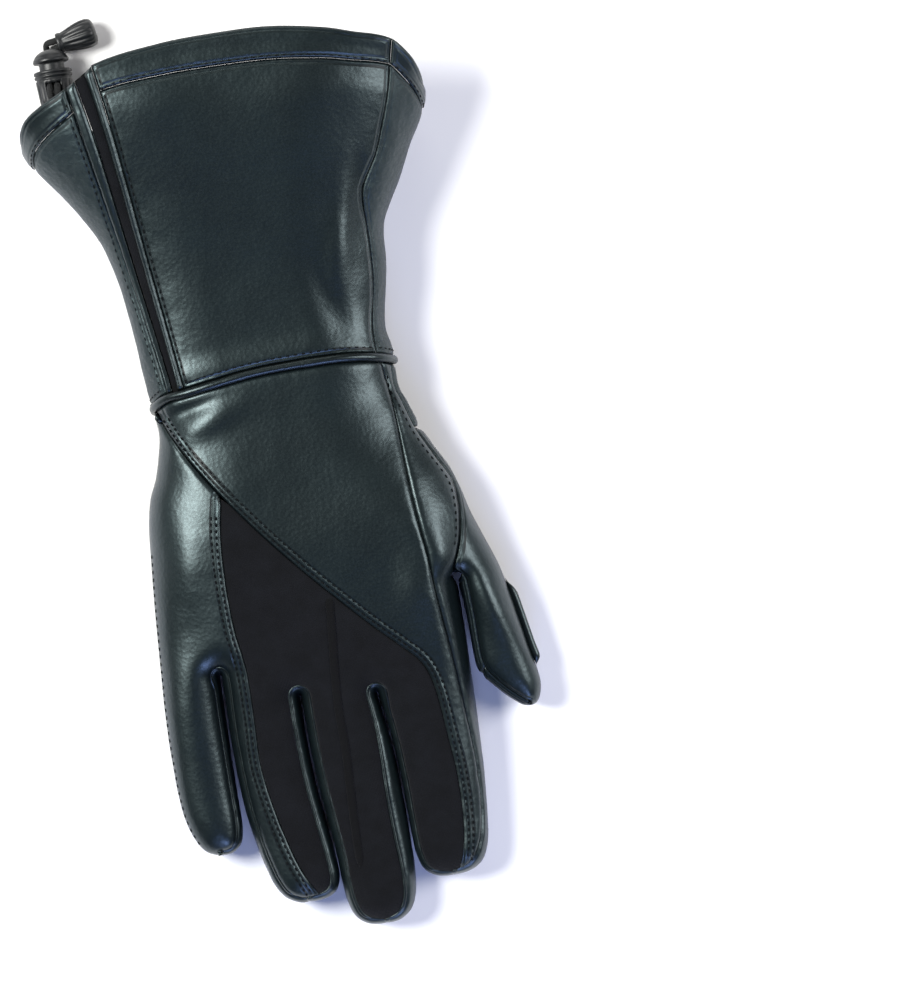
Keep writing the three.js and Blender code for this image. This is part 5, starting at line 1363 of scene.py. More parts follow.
class GridMesh:
    """A mesh joined out of grids of points, in millimetres."""

    def __init__(self) -> None:
        """Starts empty."""
        self.build = bmesh.new()
        self.points: list[Array] = []

    def add(self, grid: Array) -> None:
        """Adds one grid of rows and columns of points."""
        rows, columns = grid.shape[:2]
        bmesh.ops.create_grid(self.build, x_segments=columns - 1, y_segments=rows - 1, size=1.0)
        self.points.append(grid.reshape(-1, 3))

    def add_tube(self, path: Array, ups: Array, wide: Array, tall: Array, sides: int = 10,
                 closed: bool = False) -> None:
        """Adds an oval tube along a path.

        Args:
            path: points of its middle.
            ups: unit vectors across it, along its height.
            wide: half widths at the points.
            tall: half heights at the points.
            sides: faces round the section.
            closed: whether the path runs back to its start.
        """
        ahead = np.roll(path, -1, 0) - np.roll(path, 1, 0)
        if not closed:
            ahead[0], ahead[-1] = path[1] - path[0], path[-1] - path[-2]
        across = unit(np.cross(ahead, ups))
        upright = unit(np.cross(across, ahead))
        a = np.linspace(0, 2 * math.pi, sides + 1)
        section = (across[:, None] * (np.cos(a)[:, None] * np.reshape(wide, (-1, 1, 1)))
                   + upright[:, None] * (np.sin(a)[:, None] * np.reshape(tall, (-1, 1, 1))))
        grid = path[:, None] + section
        self.add(np.concatenate([grid, grid[:1]]) if closed else grid)

    def finish(self, weld: float = 0.02) -> BMesh:
        """Puts the points in place, welds the grids together and returns the mesh."""
        self.build.verts.ensure_lookup_table()
        for v, p in zip(self.build.verts, np.vstack(self.points)):
            v.co = p
        bmesh.ops.remove_doubles(self.build, verts=self.build.verts, dist=weld)
        bmesh.ops.dissolve_degenerate(self.build, dist=0.004, edges=self.build.edges)
        return self.build


def place_in_scene(name: str, data: bpy.types.ID) -> Piece:
    """An object at the origin that shows the data."""
    made = bpy.data.objects.new(name, data)
    bpy.context.scene.collection.objects.link(made)
    return made


@dataclass
class Workshop:
    """Turns meshes in millimetres into the glove's pieces."""

    finishes: Finishes
    shift: Vector

    def piece(self, build: BMesh, name: str, slot: Slot, *nodes: str,
              body: str = GLOVE_BODY, wall: float = 0.0) -> Piece:
        """Makes a dressed piece.

        Args:
            build: its mesh, which is freed.
            name: the piece's name.
            slot: its finish.
            *nodes: the solids that it stands for.
            body: the body that it rides on.
            wall: thickness grown inward, in millimetres.

        Returns:
            The piece.
        """
        scale = Matrix.Scale(MM, 4) @ Matrix.Translation(self.shift)
        bmesh.ops.transform(build, matrix=scale, verts=build.verts)
        mesh = bpy.data.meshes.new(name)
        build.to_mesh(mesh)
        build.free()
        mesh.polygons.foreach_set("use_smooth", [True] * len(mesh.polygons))
        made = place_in_scene(name, mesh)
        if wall:
            solid = made.modifiers.new("wall", "SOLIDIFY")
            solid.thickness = wall * MM
            solid.offset = -1.0
            solid.use_even_offset = False
        self.finishes.dress(made, slot)
        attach(made, body)
        if nodes:
            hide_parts(*nodes)
        LOG.info("%s: %d faces", name, len(mesh.polygons))
        return made


@dataclass
class SheetMaker:
    """Makes thin panels from grids of skin points, and remembers the skin for the sewing."""

    pattern: Pattern
    shop: Workshop
    points: list[Array] = field(default_factory=list)
    faces: list[list[int]] = field(default_factory=list)

    def sheet(self, name: str, grids: list[Array], relief: Relief, slot: Slot, *nodes: str,
              rows: Sequence[PlanLine] = ()) -> Piece:
        """Makes one panel.

        Args:
            name: the piece's name.
            grids: its grids, in millimetres.
            relief: how it is worked.
            slot: its finish.
            *nodes: the solids that it stands for.
            rows: the seams that carry two rows of stitches.

        Returns:
            The panel's object.
        """
        mesh = GridMesh()
        for grid in grids:
            mesh.add(grid)
        build = mesh.finish()
        inner = [v for v in build.verts if not v.is_boundary]
        for _ in range(2):
            bmesh.ops.smooth_vert(build, verts=inner, factor=0.5, use_axis_x=True, use_axis_y=True,
                                  use_axis_z=True)
        self._work(build, relief, rows)
        build.verts.index_update()
        start = sum(len(p) for p in self.points)
        self.points.append(np.array([v.co[:] for v in build.verts]))
        self.faces.extend([v.index + start for v in f.verts] for f in build.faces)
        return self.shop.piece(build, name, slot, *nodes, wall=relief.wall)

    def _gathered(self, co: Array) -> Array:
        """Height of the elastic's gathers below the wrist, on the palm."""
        down = self.pattern.hand_palm(co[:, 0]) - co[:, 1]
        ripple = np.sin(2 * math.pi * co[:, 0] / 5.2 + 0.9 * np.sin(co[:, 0] / 7.0))
        along = swell((co[:, 0] + 24) / 10) * swell((44 - co[:, 0]) / 6)
        return ripple * along * np.exp(-(((down - 2.5) / 3.6) ** 2))

    def _work(self, build: BMesh, relief: Relief, rows: Sequence[PlanLine]) -> None:
        """Rolls the edges, puffs the middle and creases the skin, along the normals."""
        build.normal_update()
        rim = [e for e in build.edges if e.is_boundary]
        tree = kdtree.KDTree(max(1, len(rim) * 4))
        for i, e in enumerate(rim):
            a, b = e.verts
            for k in range(4):
                tree.insert(a.co.lerp(b.co, k / 4), i * 4 + k)
        tree.balance()
        co = np.array([v.co[:] for v in build.verts])
        normal = np.array([v.normal[:] for v in build.verts])
        far = np.array([tree.find(v.co)[2] for v in build.verts])
        coarse, medium, fine = (
            np.array([noise.noise(v.co / size + Vector(offset)) for v in build.verts])
            for size, offset in WRINKLES
        )
        flat = near_tip(co[:, :2])
        roll = relief.roll * (1.0 - flat)
        out = relief.lift * (1.0 - flat) - roll * np.exp(-((far / relief.roll_width) ** 2))
        scaled = far / relief.puff_width
        out += relief.puff * scaled * np.exp(1.0 - scaled)
        out += relief.pucker * (medium + fine) * np.exp(-far / 4.0)
        out += relief.wrinkle * (coarse + 0.35 * medium) * swell(far / 5.0)
        if relief.ribs:
            wave = np.sin(2 * math.pi * co[:, 1] / relief.rib_pitch)
            out += relief.ribs * wave * swell(far / 1.2)
        if relief.gather:
            out += relief.gather * self._gathered(co)
        moved = co + normal * out[:, None]
        edge = build.verts.layers.float.new("edge")
        row = build.verts.layers.float.new("row")
        beside = np.minimum(far, BETWEEN_ROWS) if relief.stitched else far * 0 + BETWEEN_ROWS
        if rows:
            beside = Distance(*rows)(co[:, :2])
        for v, p, d, r in zip(build.verts, moved, far, beside):
            v.co = p
            v[edge] = d
            v[row] = r
        build.normal_update()
        for v in build.verts:
            v.co.z = max(v.co.z, v.normal.z * relief.wall, 0.0)


@dataclass
class Sewing:
    """Topstitch: rows of threads laid on the skin."""

    maker: SheetMaker
    pitch: float = 2.9
    reach: float = 1.5
    thick: float = 0.27
    lift: float = 0.1
    margin: float = 1.0
    step: float = 0.6
    count: int = 0

    def __post_init__(self) -> None:
        """Collects the skin of every panel."""
        points = np.vstack(self.maker.points)
        self.skin = BVHTree.FromPolygons([Vector(p) for p in points], self.maker.faces)

    def on_back(self, line: PlanLine) -> Array:
        """Points of the back along a plan line."""
        return self._lay(line, Side.BACK)

    def on_palm(self, line: PlanLine) -> Array:
        """Points of the palm along a plan line."""
        return self._lay(line, Side.PALM)

    def _lay(self, line: PlanLine, side: Side) -> Array:
        """Points of one side's skin along a plan line."""
        plan = line.at(np.linspace(0, 1, max(4, int(line.length / self.step))))
        return self.maker.pattern.form.skin(plan, side)

    def touch(self, point: Array, reach: float = 3.5) -> tuple[Vector, Vector] | None:
        """The place and the normal of the skin nearest a point, or none beyond a reach."""
        place, normal, _, far = self.skin.find_nearest(Vector(point))
        return None if place is None or far > reach else (place, normal)

    def row(self, build: BMesh, path: Array, pitch: float | None = None) -> None:
        """Adds one row of stitches.

        Args:
            build: the mesh that takes them.
            path: the points that they follow.
            pitch: distance from stitch to stitch.
        """
        run = run_along(path)
        pitch = pitch or self.pitch
        for i in range(int((run[-1] - self.margin) / pitch)):
            start = self.margin + pitch * (i + 0.5) - self.reach / 2
            ends = [start, start + self.reach]
            found = [self.touch([np.interp(s, run, path[:, k]) for k in range(3)]) for s in ends]
            if None in found:
                continue
            (a, na), (b, nb) = found
            way = b - a
            if not 0.4 * self.reach < way.length < 1.4 * self.reach:
                continue
            turn = way.to_track_quat("Z", "Y").to_matrix().to_4x4()
            size = Matrix.Diagonal((self.thick, self.thick, way.length / 2, 1.0))
            middle = (a + b) / 2 + (na + nb).normalized() * self.lift
            middle.z = max(middle.z, self.thick - self.lift)
            place = Matrix.Translation(middle)
            bmesh.ops.create_uvsphere(build, u_segments=6, v_segments=5, radius=1.0,
                                      matrix=place @ turn @ size)
            self.count += 1

    def sew(self, name: str, *paths: Array, pitch: float | None = None) -> None:
        """Makes one piece of thread out of several rows."""
        build = bmesh.new()
        for path in paths:
            self.row(build, path, pitch)
        made = self.maker.shop.piece(build, name, Slot.CORD)
        made.data.materials[0] = self.maker.shop.finishes.thread


@dataclass
class Gauntlet:
    """The glove's sewn pieces."""

    maker: SheetMaker
    leather: Relief = Relief(wrinkle=0.2, roll=0.5)
    cuff_skin: Relief = Relief(wrinkle=0.16, roll=0.32, roll_width=0.7, puff=0.2)
    grained: Relief = Relief(wrinkle=0.5, pucker=0.22, roll=0.4)
    palm_skin: Relief = Relief(wrinkle=0.4, pucker=0.25, gather=0.75)
    fabric: Relief = Relief(lift=-0.45, roll=0.25, puff=0.1, wrinkle=0.2, pucker=0.2, wall=1.1,
                            stitched=False)
    padded: Relief = Relief(roll=0.8, roll_width=1.3, puff=0.5, puff_width=4.0, wrinkle=0.12)
    hem: Relief = Relief(lift=0.15, roll=0.4, roll_width=0.7, puff=0.45, puff_width=2.6, wall=2.0,
                         wrinkle=0.12)
    welt: Relief = Relief(lift=0.5, roll=0.85, roll_width=0.8, puff=0.3, puff_width=1.6,
                          wrinkle=0.08, stitched=False)
    sunk: Relief = Relief(lift=-0.8, roll=0.2, puff=0.0, wrinkle=0.1, pucker=0.12, wall=1.1,
                          stitched=False)
    wall: Relief = Relief(wrinkle=0.15, stitched=False)
    ribbed: Relief = Relief(lift=-0.1, roll=0.5, puff=0.0, pucker=0.05, wrinkle=0.05, ribs=0.3,
                            wall=1.0, stitched=False)

    def build(self) -> None:
        """Makes every panel."""
        self.cuff()
        self.back()
        self.fingers()
        self.palm()
        self.thumb()

    def cuff(self) -> None:
        """The cuff's panels, hem, welts and stretch strip."""
        p, sheet = self.maker.pattern, self.maker.sheet
        below, hem = p.cuff_shares(), p.hem_shares()
        for part, make, skin, slot in (
            ("back", p.cuff_back_panel, self.cuff_skin, Slot.SMOOTH),
            ("side", p.cuff_side_panel, self.grained, Slot.GRAINED),
            ("palm", p.cuff_palm_panel, self.grained, Slot.GRAINED),
        ):
            sheet(f"cuff_{part}_leather", make(below), skin, slot, f"cuff_{part}_panel")
            sheet(f"hem_{part}_leather", make(hem), self.hem, Slot.SMOOTH, f"hem_{part}")
        for name, left, right, relief, slot, node in (
            ("inner_cuff_welt", "gusset_right", "back_left", self.welt, Slot.SMOOTH,
             "cuff_welt_inner"),
            ("outer_cuff_welt", "side", "gusset_left", self.welt, Slot.SMOOTH, "cuff_welt_outer"),
            ("cuff_stretch_strip", "gusset_left", "gusset_right", self.sunk, Slot.STRETCH,
             "cuff_gusset_strip"),
        ):
            sheet(name, p.cuff_strip_between(left, right), relief, slot, node)

    def back(self) -> None:
        """The panels on the back of the hand."""
        p, sheet = self.maker.pattern, self.maker.sheet
        sheet("outer_back_leather", p.outer_back_panel(), self.leather, Slot.SMOOTH,
              "outer_back_panel", rows=[p.fabric_seam])
        sheet("stretch_insert_fabric", p.stretch_insert(), self.fabric, Slot.STRETCH,
              "stretch_insert")
        sheet("main_back_leather", p.main_back_panel(), self.leather, Slot.SMOOTH,
              "main_back_panel", rows=[p.double_seam])
        sheet("index_side_leather", p.index_side_panel(), self.wall, Slot.SMOOTH,
              "index_side_panel")

    def fingers(self) -> None:
        """Side walls, rib-knit bands and tip pads of the fingers."""
        p, sheet = self.maker.pattern, self.maker.sheet
        names = {"little": "fourchette_little_ring", "ring": "fourchette_ring_middle",
                 "middle": "fourchette_middle_index"}
        for key, node in names.items():
            sheet(f"{key}_side_wall", p.fourchette(key), self.wall, Slot.SMOOTH, node)
        for key, (start, end) in RIBS.items():
            sheet(f"{key}_rib_knit", [p.finger_palm(key, start, end, 0.25)], self.ribbed, Slot.RIB,
                  f"rib_band_{key}")
            pad = sheet(f"{key}_tip_pad", [p.finger_palm(key, end, 1)], self.padded, Slot.SMOOTH,
                        f"tip_pad_{key}")

    def palm(self) -> None:
        """The palm and its heel pad."""
        p, sheet = self.maker.pattern, self.maker.sheet
        sheet("palm_leather", p.palm_panel(), self.palm_skin, Slot.GRAINED, "palm_panel")
        for side, outer in (("outer", True), ("inner", False)):
            pad = sheet(f"{side}_heel_pad", p.heel_pad(outer), self.padded, Slot.SMOOTH,
                        f"heel_pad_{side}")

    def thumb(self) -> None:
        """The thumb's pieces."""
        p, sheet = self.maker.pattern, self.maker.sheet
        sheet("thumb_back_leather", p.thumb_back(), self.leather, Slot.SMOOTH, "thumb_back")
        sheet("thumb_palm_leather", p.thumb_palm(), self.grained, Slot.GRAINED, "thumb_palm")
        sheet("thumb_tip_leather", p.thumb_tube(CROSS_SEAM + 0.002, 0.999), self.leather,
              Slot.SMOOTH, "thumb_tip")


@dataclass
class Trim:
    """The glove's rolled welts, tucks and the wiper on the thumb, in millimetres."""

    maker: SheetMaker
    sewing: Sewing
    wrist_radius: float = 1.55
    crotch_radius: float = 0.75
    tuck_radius: float = 1.3
    tuck_flat: float = 1.4
    tuck_sink: float = 0.4
    crotch_sink: float = 0.15
    wiper_reach: float = 2.1
    wiper_height: float = 1.25
    gusset_shift: float = 0.6
    gusset_long: float = 1.9
    gusset_wide: float = 2.3
    gusset_proud: float = 0.35

    def build(self) -> None:
        """Makes every trim."""
        self.wrist_welt()
        self.crotch_welts()
        self.tuck()
        self.wiper()
        self.tip_gussets()

    def _laid(self, path: Array, sink: float) -> tuple[Array, Array]:
        """A path moved onto the skin and sunk into it, with the normals there."""
        found = [self.sewing.touch(p, 6.0) for p in path]
        kept = [(np.array(f[0]), np.array(f[1])) for f in found if f]
        places, normals = np.array([k[0] for k in kept]), np.array([k[1] for k in kept])
        for _ in range(3):
            places[1:-1] = (places[:-2] + 2 * places[1:-1] + places[2:]) / 4
            normals[1:-1] = (normals[:-2] + 2 * normals[1:-1] + normals[2:]) / 4
        return places - normals * sink, normals

    def _roll(self, name: str, path: Array, ups: Array, wide: Array, tall: Array, sides: int,
              *nodes: str, slot: Slot = Slot.SMOOTH, closed: bool = False) -> None:
        """Makes one rolled piece out of an oval tube.

        Args:
            name: the piece's name.
            path: points of its middle.
            ups: unit vectors across it, along its height.
            wide: half widths at the points.
            tall: half heights at the points.
            sides: faces round the section.
            *nodes: the solids that it stands for.
            slot: its finish.
            closed: whether the path runs back to its start.
        """
        mesh = GridMesh()
        mesh.add_tube(path, ups, wide, tall, sides, closed)
        build = mesh.finish()
        bmesh.ops.recalc_face_normals(build, faces=build.faces)
        for v in build.verts:
            v.co.z = max(v.co.z, 0.0)
        self.maker.shop.piece(build, name, slot, *nodes)

    def wrist_welt(self) -> None:
        """The rolled welt round the wrist seam."""
        form = self.maker.pattern.form
        left = LEFT_EDGE.at(LEFT_EDGE.nearest((-47, float(WRIST_BACK(-47)))))
        right = RIGHT_EDGE.at(RIGHT_EDGE.nearest((46, float(WRIST_BACK(46)))))
        a = np.linspace(0, math.pi, 90)[1:-1]
        x = left[0] + (right[0] - left[0]) * (1 - np.cos(a)) / 2
        loop = []
        for xs, line, side in ((x, WRIST_BACK, Side.BACK), (x[::-1], WRIST_PALM, Side.PALM)):
            plan = np.stack([xs, line(xs)], -1)
            rim = right if side is Side.BACK else left
            loop.append(form.skin(plan, side))
            loop.append(np.array([[*rim, float(form.half_at(rim[1]))]]))
        path = np.vstack(loop)
        for _ in range(2):
            path = (np.roll(path, 1, 0) + 2 * path + np.roll(path, -1, 0)) / 4
        ups = np.tile([0.0, 1.0, 0.0], (len(path), 1))
        wobble = np.array([noise.noise(Vector(p) / 6.0) for p in path]) * 0.12
        size = self.wrist_radius + wobble
        self._roll("wrist_welt_leather", path, ups, size, size * 1.05, 12, "wrist_welt",
                   closed=True)

    def crotch_welts(self) -> None:
        """Narrow rolled welts round the slits between the fingers."""
        pattern = self.maker.pattern
        for key, (line, _) in pattern.slits.items():
            edge = line.inset(lambda t, k=key: pattern.back_inset[k](t)).part(0.02, 0.98)
            path, normals = self._laid(self.sewing.on_back(edge), self.crotch_sink)
            taper = swell(np.minimum(np.arange(len(path)), np.arange(len(path))[::-1]) / 8)
            size = self.crotch_radius * taper
            self._roll(f"{key}_crotch_welt", path, normals, size, size, 8)

    def tuck(self) -> None:
        """The fold sewn down the stretch fabric along the middle finger."""
        line = spline([(7, -84), (6, -95), (4.5, -110), (3.5, -125), (3.5, -140), (3, -150),
                       (2, -170), (1.5, -188)])
        path, normals = self._laid(self.sewing.on_back(line), self.tuck_sink)
        taper = swell(np.minimum(np.arange(len(path)) + 9, np.arange(len(path))[::-1]) / 12)
        self._roll("insert_tuck", path, normals, self.tuck_radius * self.tuck_flat * taper,
                   self.tuck_radius * taper, 8, slot=Slot.STRETCH)

    def tip_gussets(self) -> None:
        """Small rounded gussets that close the fingertips where the panels meet."""
        form = self.maker.pattern.form
        build = bmesh.new()
        for key in ("little", "ring", "middle", "index"):
            plan = np.array(TIPS[key]) + (self.gusset_shift, self.gusset_long)
            top = float(form.height(plan, Side.BACK)) + self.gusset_proud
            foot = float(form.height(plan, Side.PALM))
            place = Matrix.Translation((*plan, (top + foot) / 2))
            size = Matrix.Diagonal((self.gusset_wide, self.gusset_long, (top - foot) / 2, 1.0))
            bmesh.ops.create_uvsphere(build, u_segments=20, v_segments=12, radius=1.0,
                                      matrix=place @ size)
        self.maker.shop.piece(build, "fingertip_gussets", Slot.SMOOTH)

    def wiper(self) -> None:
        """The wiper blade along the outer edge of the thumb."""
        form = self.maker.pattern.form
        start, end = RIGHT_EDGE.nearest((72.6, -86)), RIGHT_EDGE.nearest((79.3, -121.8))
        t = np.linspace(start, end, 60)
        plan, inward = RIGHT_EDGE.at(t), RIGHT_EDGE.normal(t)
        share = np.linspace(0, 1, len(t))
        rise = swell(share * 6) * swell((1 - share) * 9)
        out = self.wiper_reach * (0.3 + 0.7 * swell(share * 4)) * rise
        middle = plan - inward * (0.15 + out / 2)[:, None]
        height = form.half_at(plan[:, 1]) + 1.0
        path = np.concatenate([middle, height[:, None]], -1)
        ups = np.tile([0.0, 0.0, 1.0], (len(t), 1))
        self._roll("thumb_wiper_blade", path, ups, out / 2 + 0.45 * rise,
                   self.wiper_height * rise, 14, "thumb_wiper")


@dataclass
class Topstitch:
    """Where the glove is topstitched."""

    maker: SheetMaker
    sewing: Sewing

    def build(self) -> None:
        """Sews every row."""
        self.cuff()
        self.back()
        self.palm()
        self.tips()
        self.thumb()
        LOG.info("%d stitches", self.sewing.count)

    def cuff(self) -> None:
        """Rows along the hem, the welts and the wrist."""
        p, sewing = self.maker.pattern, self.sewing
        makes = (p.cuff_back_panel, p.cuff_side_panel, p.cuff_palm_panel)
        for name, share in (("hem_stitches", p.hem_share - 0.008), ("wrist_stitches", 1 - 0.02)):
            at = np.array([share])
            sewing.sew(name, *(grid[0] for make in makes for grid in make(at)))
        rows = [("back_left", FIRST_ROW), ("side", -FIRST_ROW)]
        lines = [p.cuff[key].inset(depth).part(0.03, 0.99) for key, depth in rows]
        sewing.sew("cuff_welt_stitches", *(sewing.on_back(line) for line in lines))

    def _double(self, line: PlanLine, side: float, start: float) -> list[Array]:
        """Two rows on one side of a seam on the back."""
        return [self.sewing.on_back(line.inset(side * d).part(start, 0.985))
                for d in (FIRST_ROW, SECOND_ROW)]

    def back(self) -> None:
        """Double rows along the seams on the back of the hand."""
        p, sewing = self.maker.pattern, self.sewing
        sewing.sew("diagonal_seam_stitches", *self._double(p.double_seam, 1.0, 0.01), pitch=2.4)
        sewing.sew("outer_seam_stitches", *self._double(p.fabric_seam, -1.0, 0.03), pitch=2.4)
        sewing.sew("thumb_seam_stitches", sewing.on_back(p.thumb_seam.inset(-2.0).part(0.03, 0.9)))
        sewing.sew("outer_edge_stitches", sewing.on_back(p.left_hand.inset(0.7).part(0.3, 0.97)))

    def palm(self) -> None:
        """Rows round the heel pad and the thumb's gusset, and the elastic's zigzag."""
        p, sewing = self.maker.pattern, self.sewing
        pad = [p.pad_left.inset(-1.9), p.pad_right.inset(1.9),
               p.pad_left.inset(1.7).part(0.04, 0.96), p.pad_right.inset(-1.7).part(0.04, 0.96),
               p.pad_core.inset(1.2), p.pad_core.inset(-1.2)]
        sewing.sew("heel_pad_stitches", *(sewing.on_palm(line) for line in pad), pitch=3.0)
        rows = [p.gusset.inset(-1.6), p.gusset.inset(-3.9), p.wedge.inset(1.6), p.wedge.inset(-1.6)]
        sewing.sew("gusset_stitches", *(sewing.on_palm(line) for line in rows))
        x = np.arange(-22.0, 42.1, 4.2)
        y = p.hand_palm(x) - np.where(np.arange(len(x)) % 2, 3.4, 6.6)
        zigzag = PlanLine(np.stack([x, y], -1))
        sewing.sew("elastic_stitches", sewing.on_palm(zigzag), pitch=2.8)

    def tips(self) -> None:
        """Rows round each tip pad and along the bands of rib knit."""
        p, sewing = self.maker.pattern, self.sewing
        lines = p.palm_lines()["base"]
        for key, (start, end) in RIBS.items():
            left, right = (line.inset(FIRST_ROW) for line in lines[key])
            rows = [sewing.on_palm(line.part(end + 0.03, 0.93)) for line in (left, right)]
            across = [start - 0.022, end + 0.022, *([0.71] if key == "index" else [])]
            rows += [p.band(np.array([share]), p.columns(4), left, right, Side.PALM)[0]
                     for share in across]
            sewing.sew(f"{key}_tip_stitches", *rows)

    def thumb(self) -> None:
        """Rows along the thumb's centre seam."""
        p, sewing = self.maker.pattern, self.sewing
        rows = [p.centre_seam.inset(depth).part(0.03, 0.95) for depth in (1.3, -1.3)]
        sewing.sew("thumb_centre_stitches", *(sewing.on_palm(row) for row in rows))


@dataclass
class Window:
    """An opening through a turned wall, for the cord: reach on X, and its ends above and below."""

    half: float
    upper: tuple[float, float]
    lower: tuple[float, float]

    def takes(self, x: float, along: float, z: float) -> bool:
        """Whether a point of the wall lies in the opening."""
        low, high = self.upper if z > 0 else self.lower
        return abs(x) < self.half and low < along < high


@dataclass
class Turning:
    """A turned part: a profile of (radius, run) spun round an axis, in millimetres."""

    profile: list[tuple[float, float]]
    origin: tuple[float, float, float]
    turn: float = 90.0
    steps: int = 72
    flutes: int = 0
    flute_depth: float = 0.0
    flute_ends: tuple[float, float] = (0.0, 1.0)
    window: Window | None = None

    def build(self) -> BMesh:
        """Spins the profile, flutes it, cuts its window and lays it along its axis."""
        build = bmesh.new()
        radius, run = self.profile[0]
        made = bmesh.ops.create_vert(build, co=(radius, run, 0.0))
        last = made["vert"][0]
        for radius, run in self.profile[1:]:
            grown = bmesh.ops.extrude_vert_indiv(build, verts=[last])
            last = grown["verts"][0]
            last.co = (radius, run, 0.0)
        bmesh.ops.spin(build, geom=build.verts[:] + build.edges[:], cent=(0, 0, 0), axis=(0, 1, 0),
                       angle=2 * math.pi, steps=self.steps, use_merge=True)
        bmesh.ops.remove_doubles(build, verts=build.verts, dist=0.001)
        if self.flutes:
            self._flute(build)
        bmesh.ops.recalc_face_normals(build, faces=build.faces)
        if self.window:
            gone = [f for f in build.faces if self.window.takes(*f.calc_center_median())]
            bmesh.ops.delete(build, geom=gone, context="FACES")
        lay = Matrix.Rotation(math.radians(self.turn - 90.0), 4, "Z")
        place = Matrix.Translation(self.origin) @ lay
        bmesh.ops.transform(build, matrix=place, verts=build.verts)
        return build

    def _flute(self, build: BMesh) -> None:
        """Draws grooves along the outside between two runs."""
        low, high = self.flute_ends
        for v in build.verts:
            radius = math.hypot(v.co.x, v.co.z)
            if radius < 1e-3 or not low <= v.co.y <= high:
                continue
            angle = math.atan2(v.co.z, v.co.x)
            share = math.sin(math.pi * (v.co.y - low) / (high - low)) ** 0.5
            depth = self.flute_depth * share * (0.5 - 0.5 * math.cos(self.flutes * angle)) ** 2
            v.co.x -= v.co.x / radius * depth
            v.co.z -= v.co.z / radius * depth


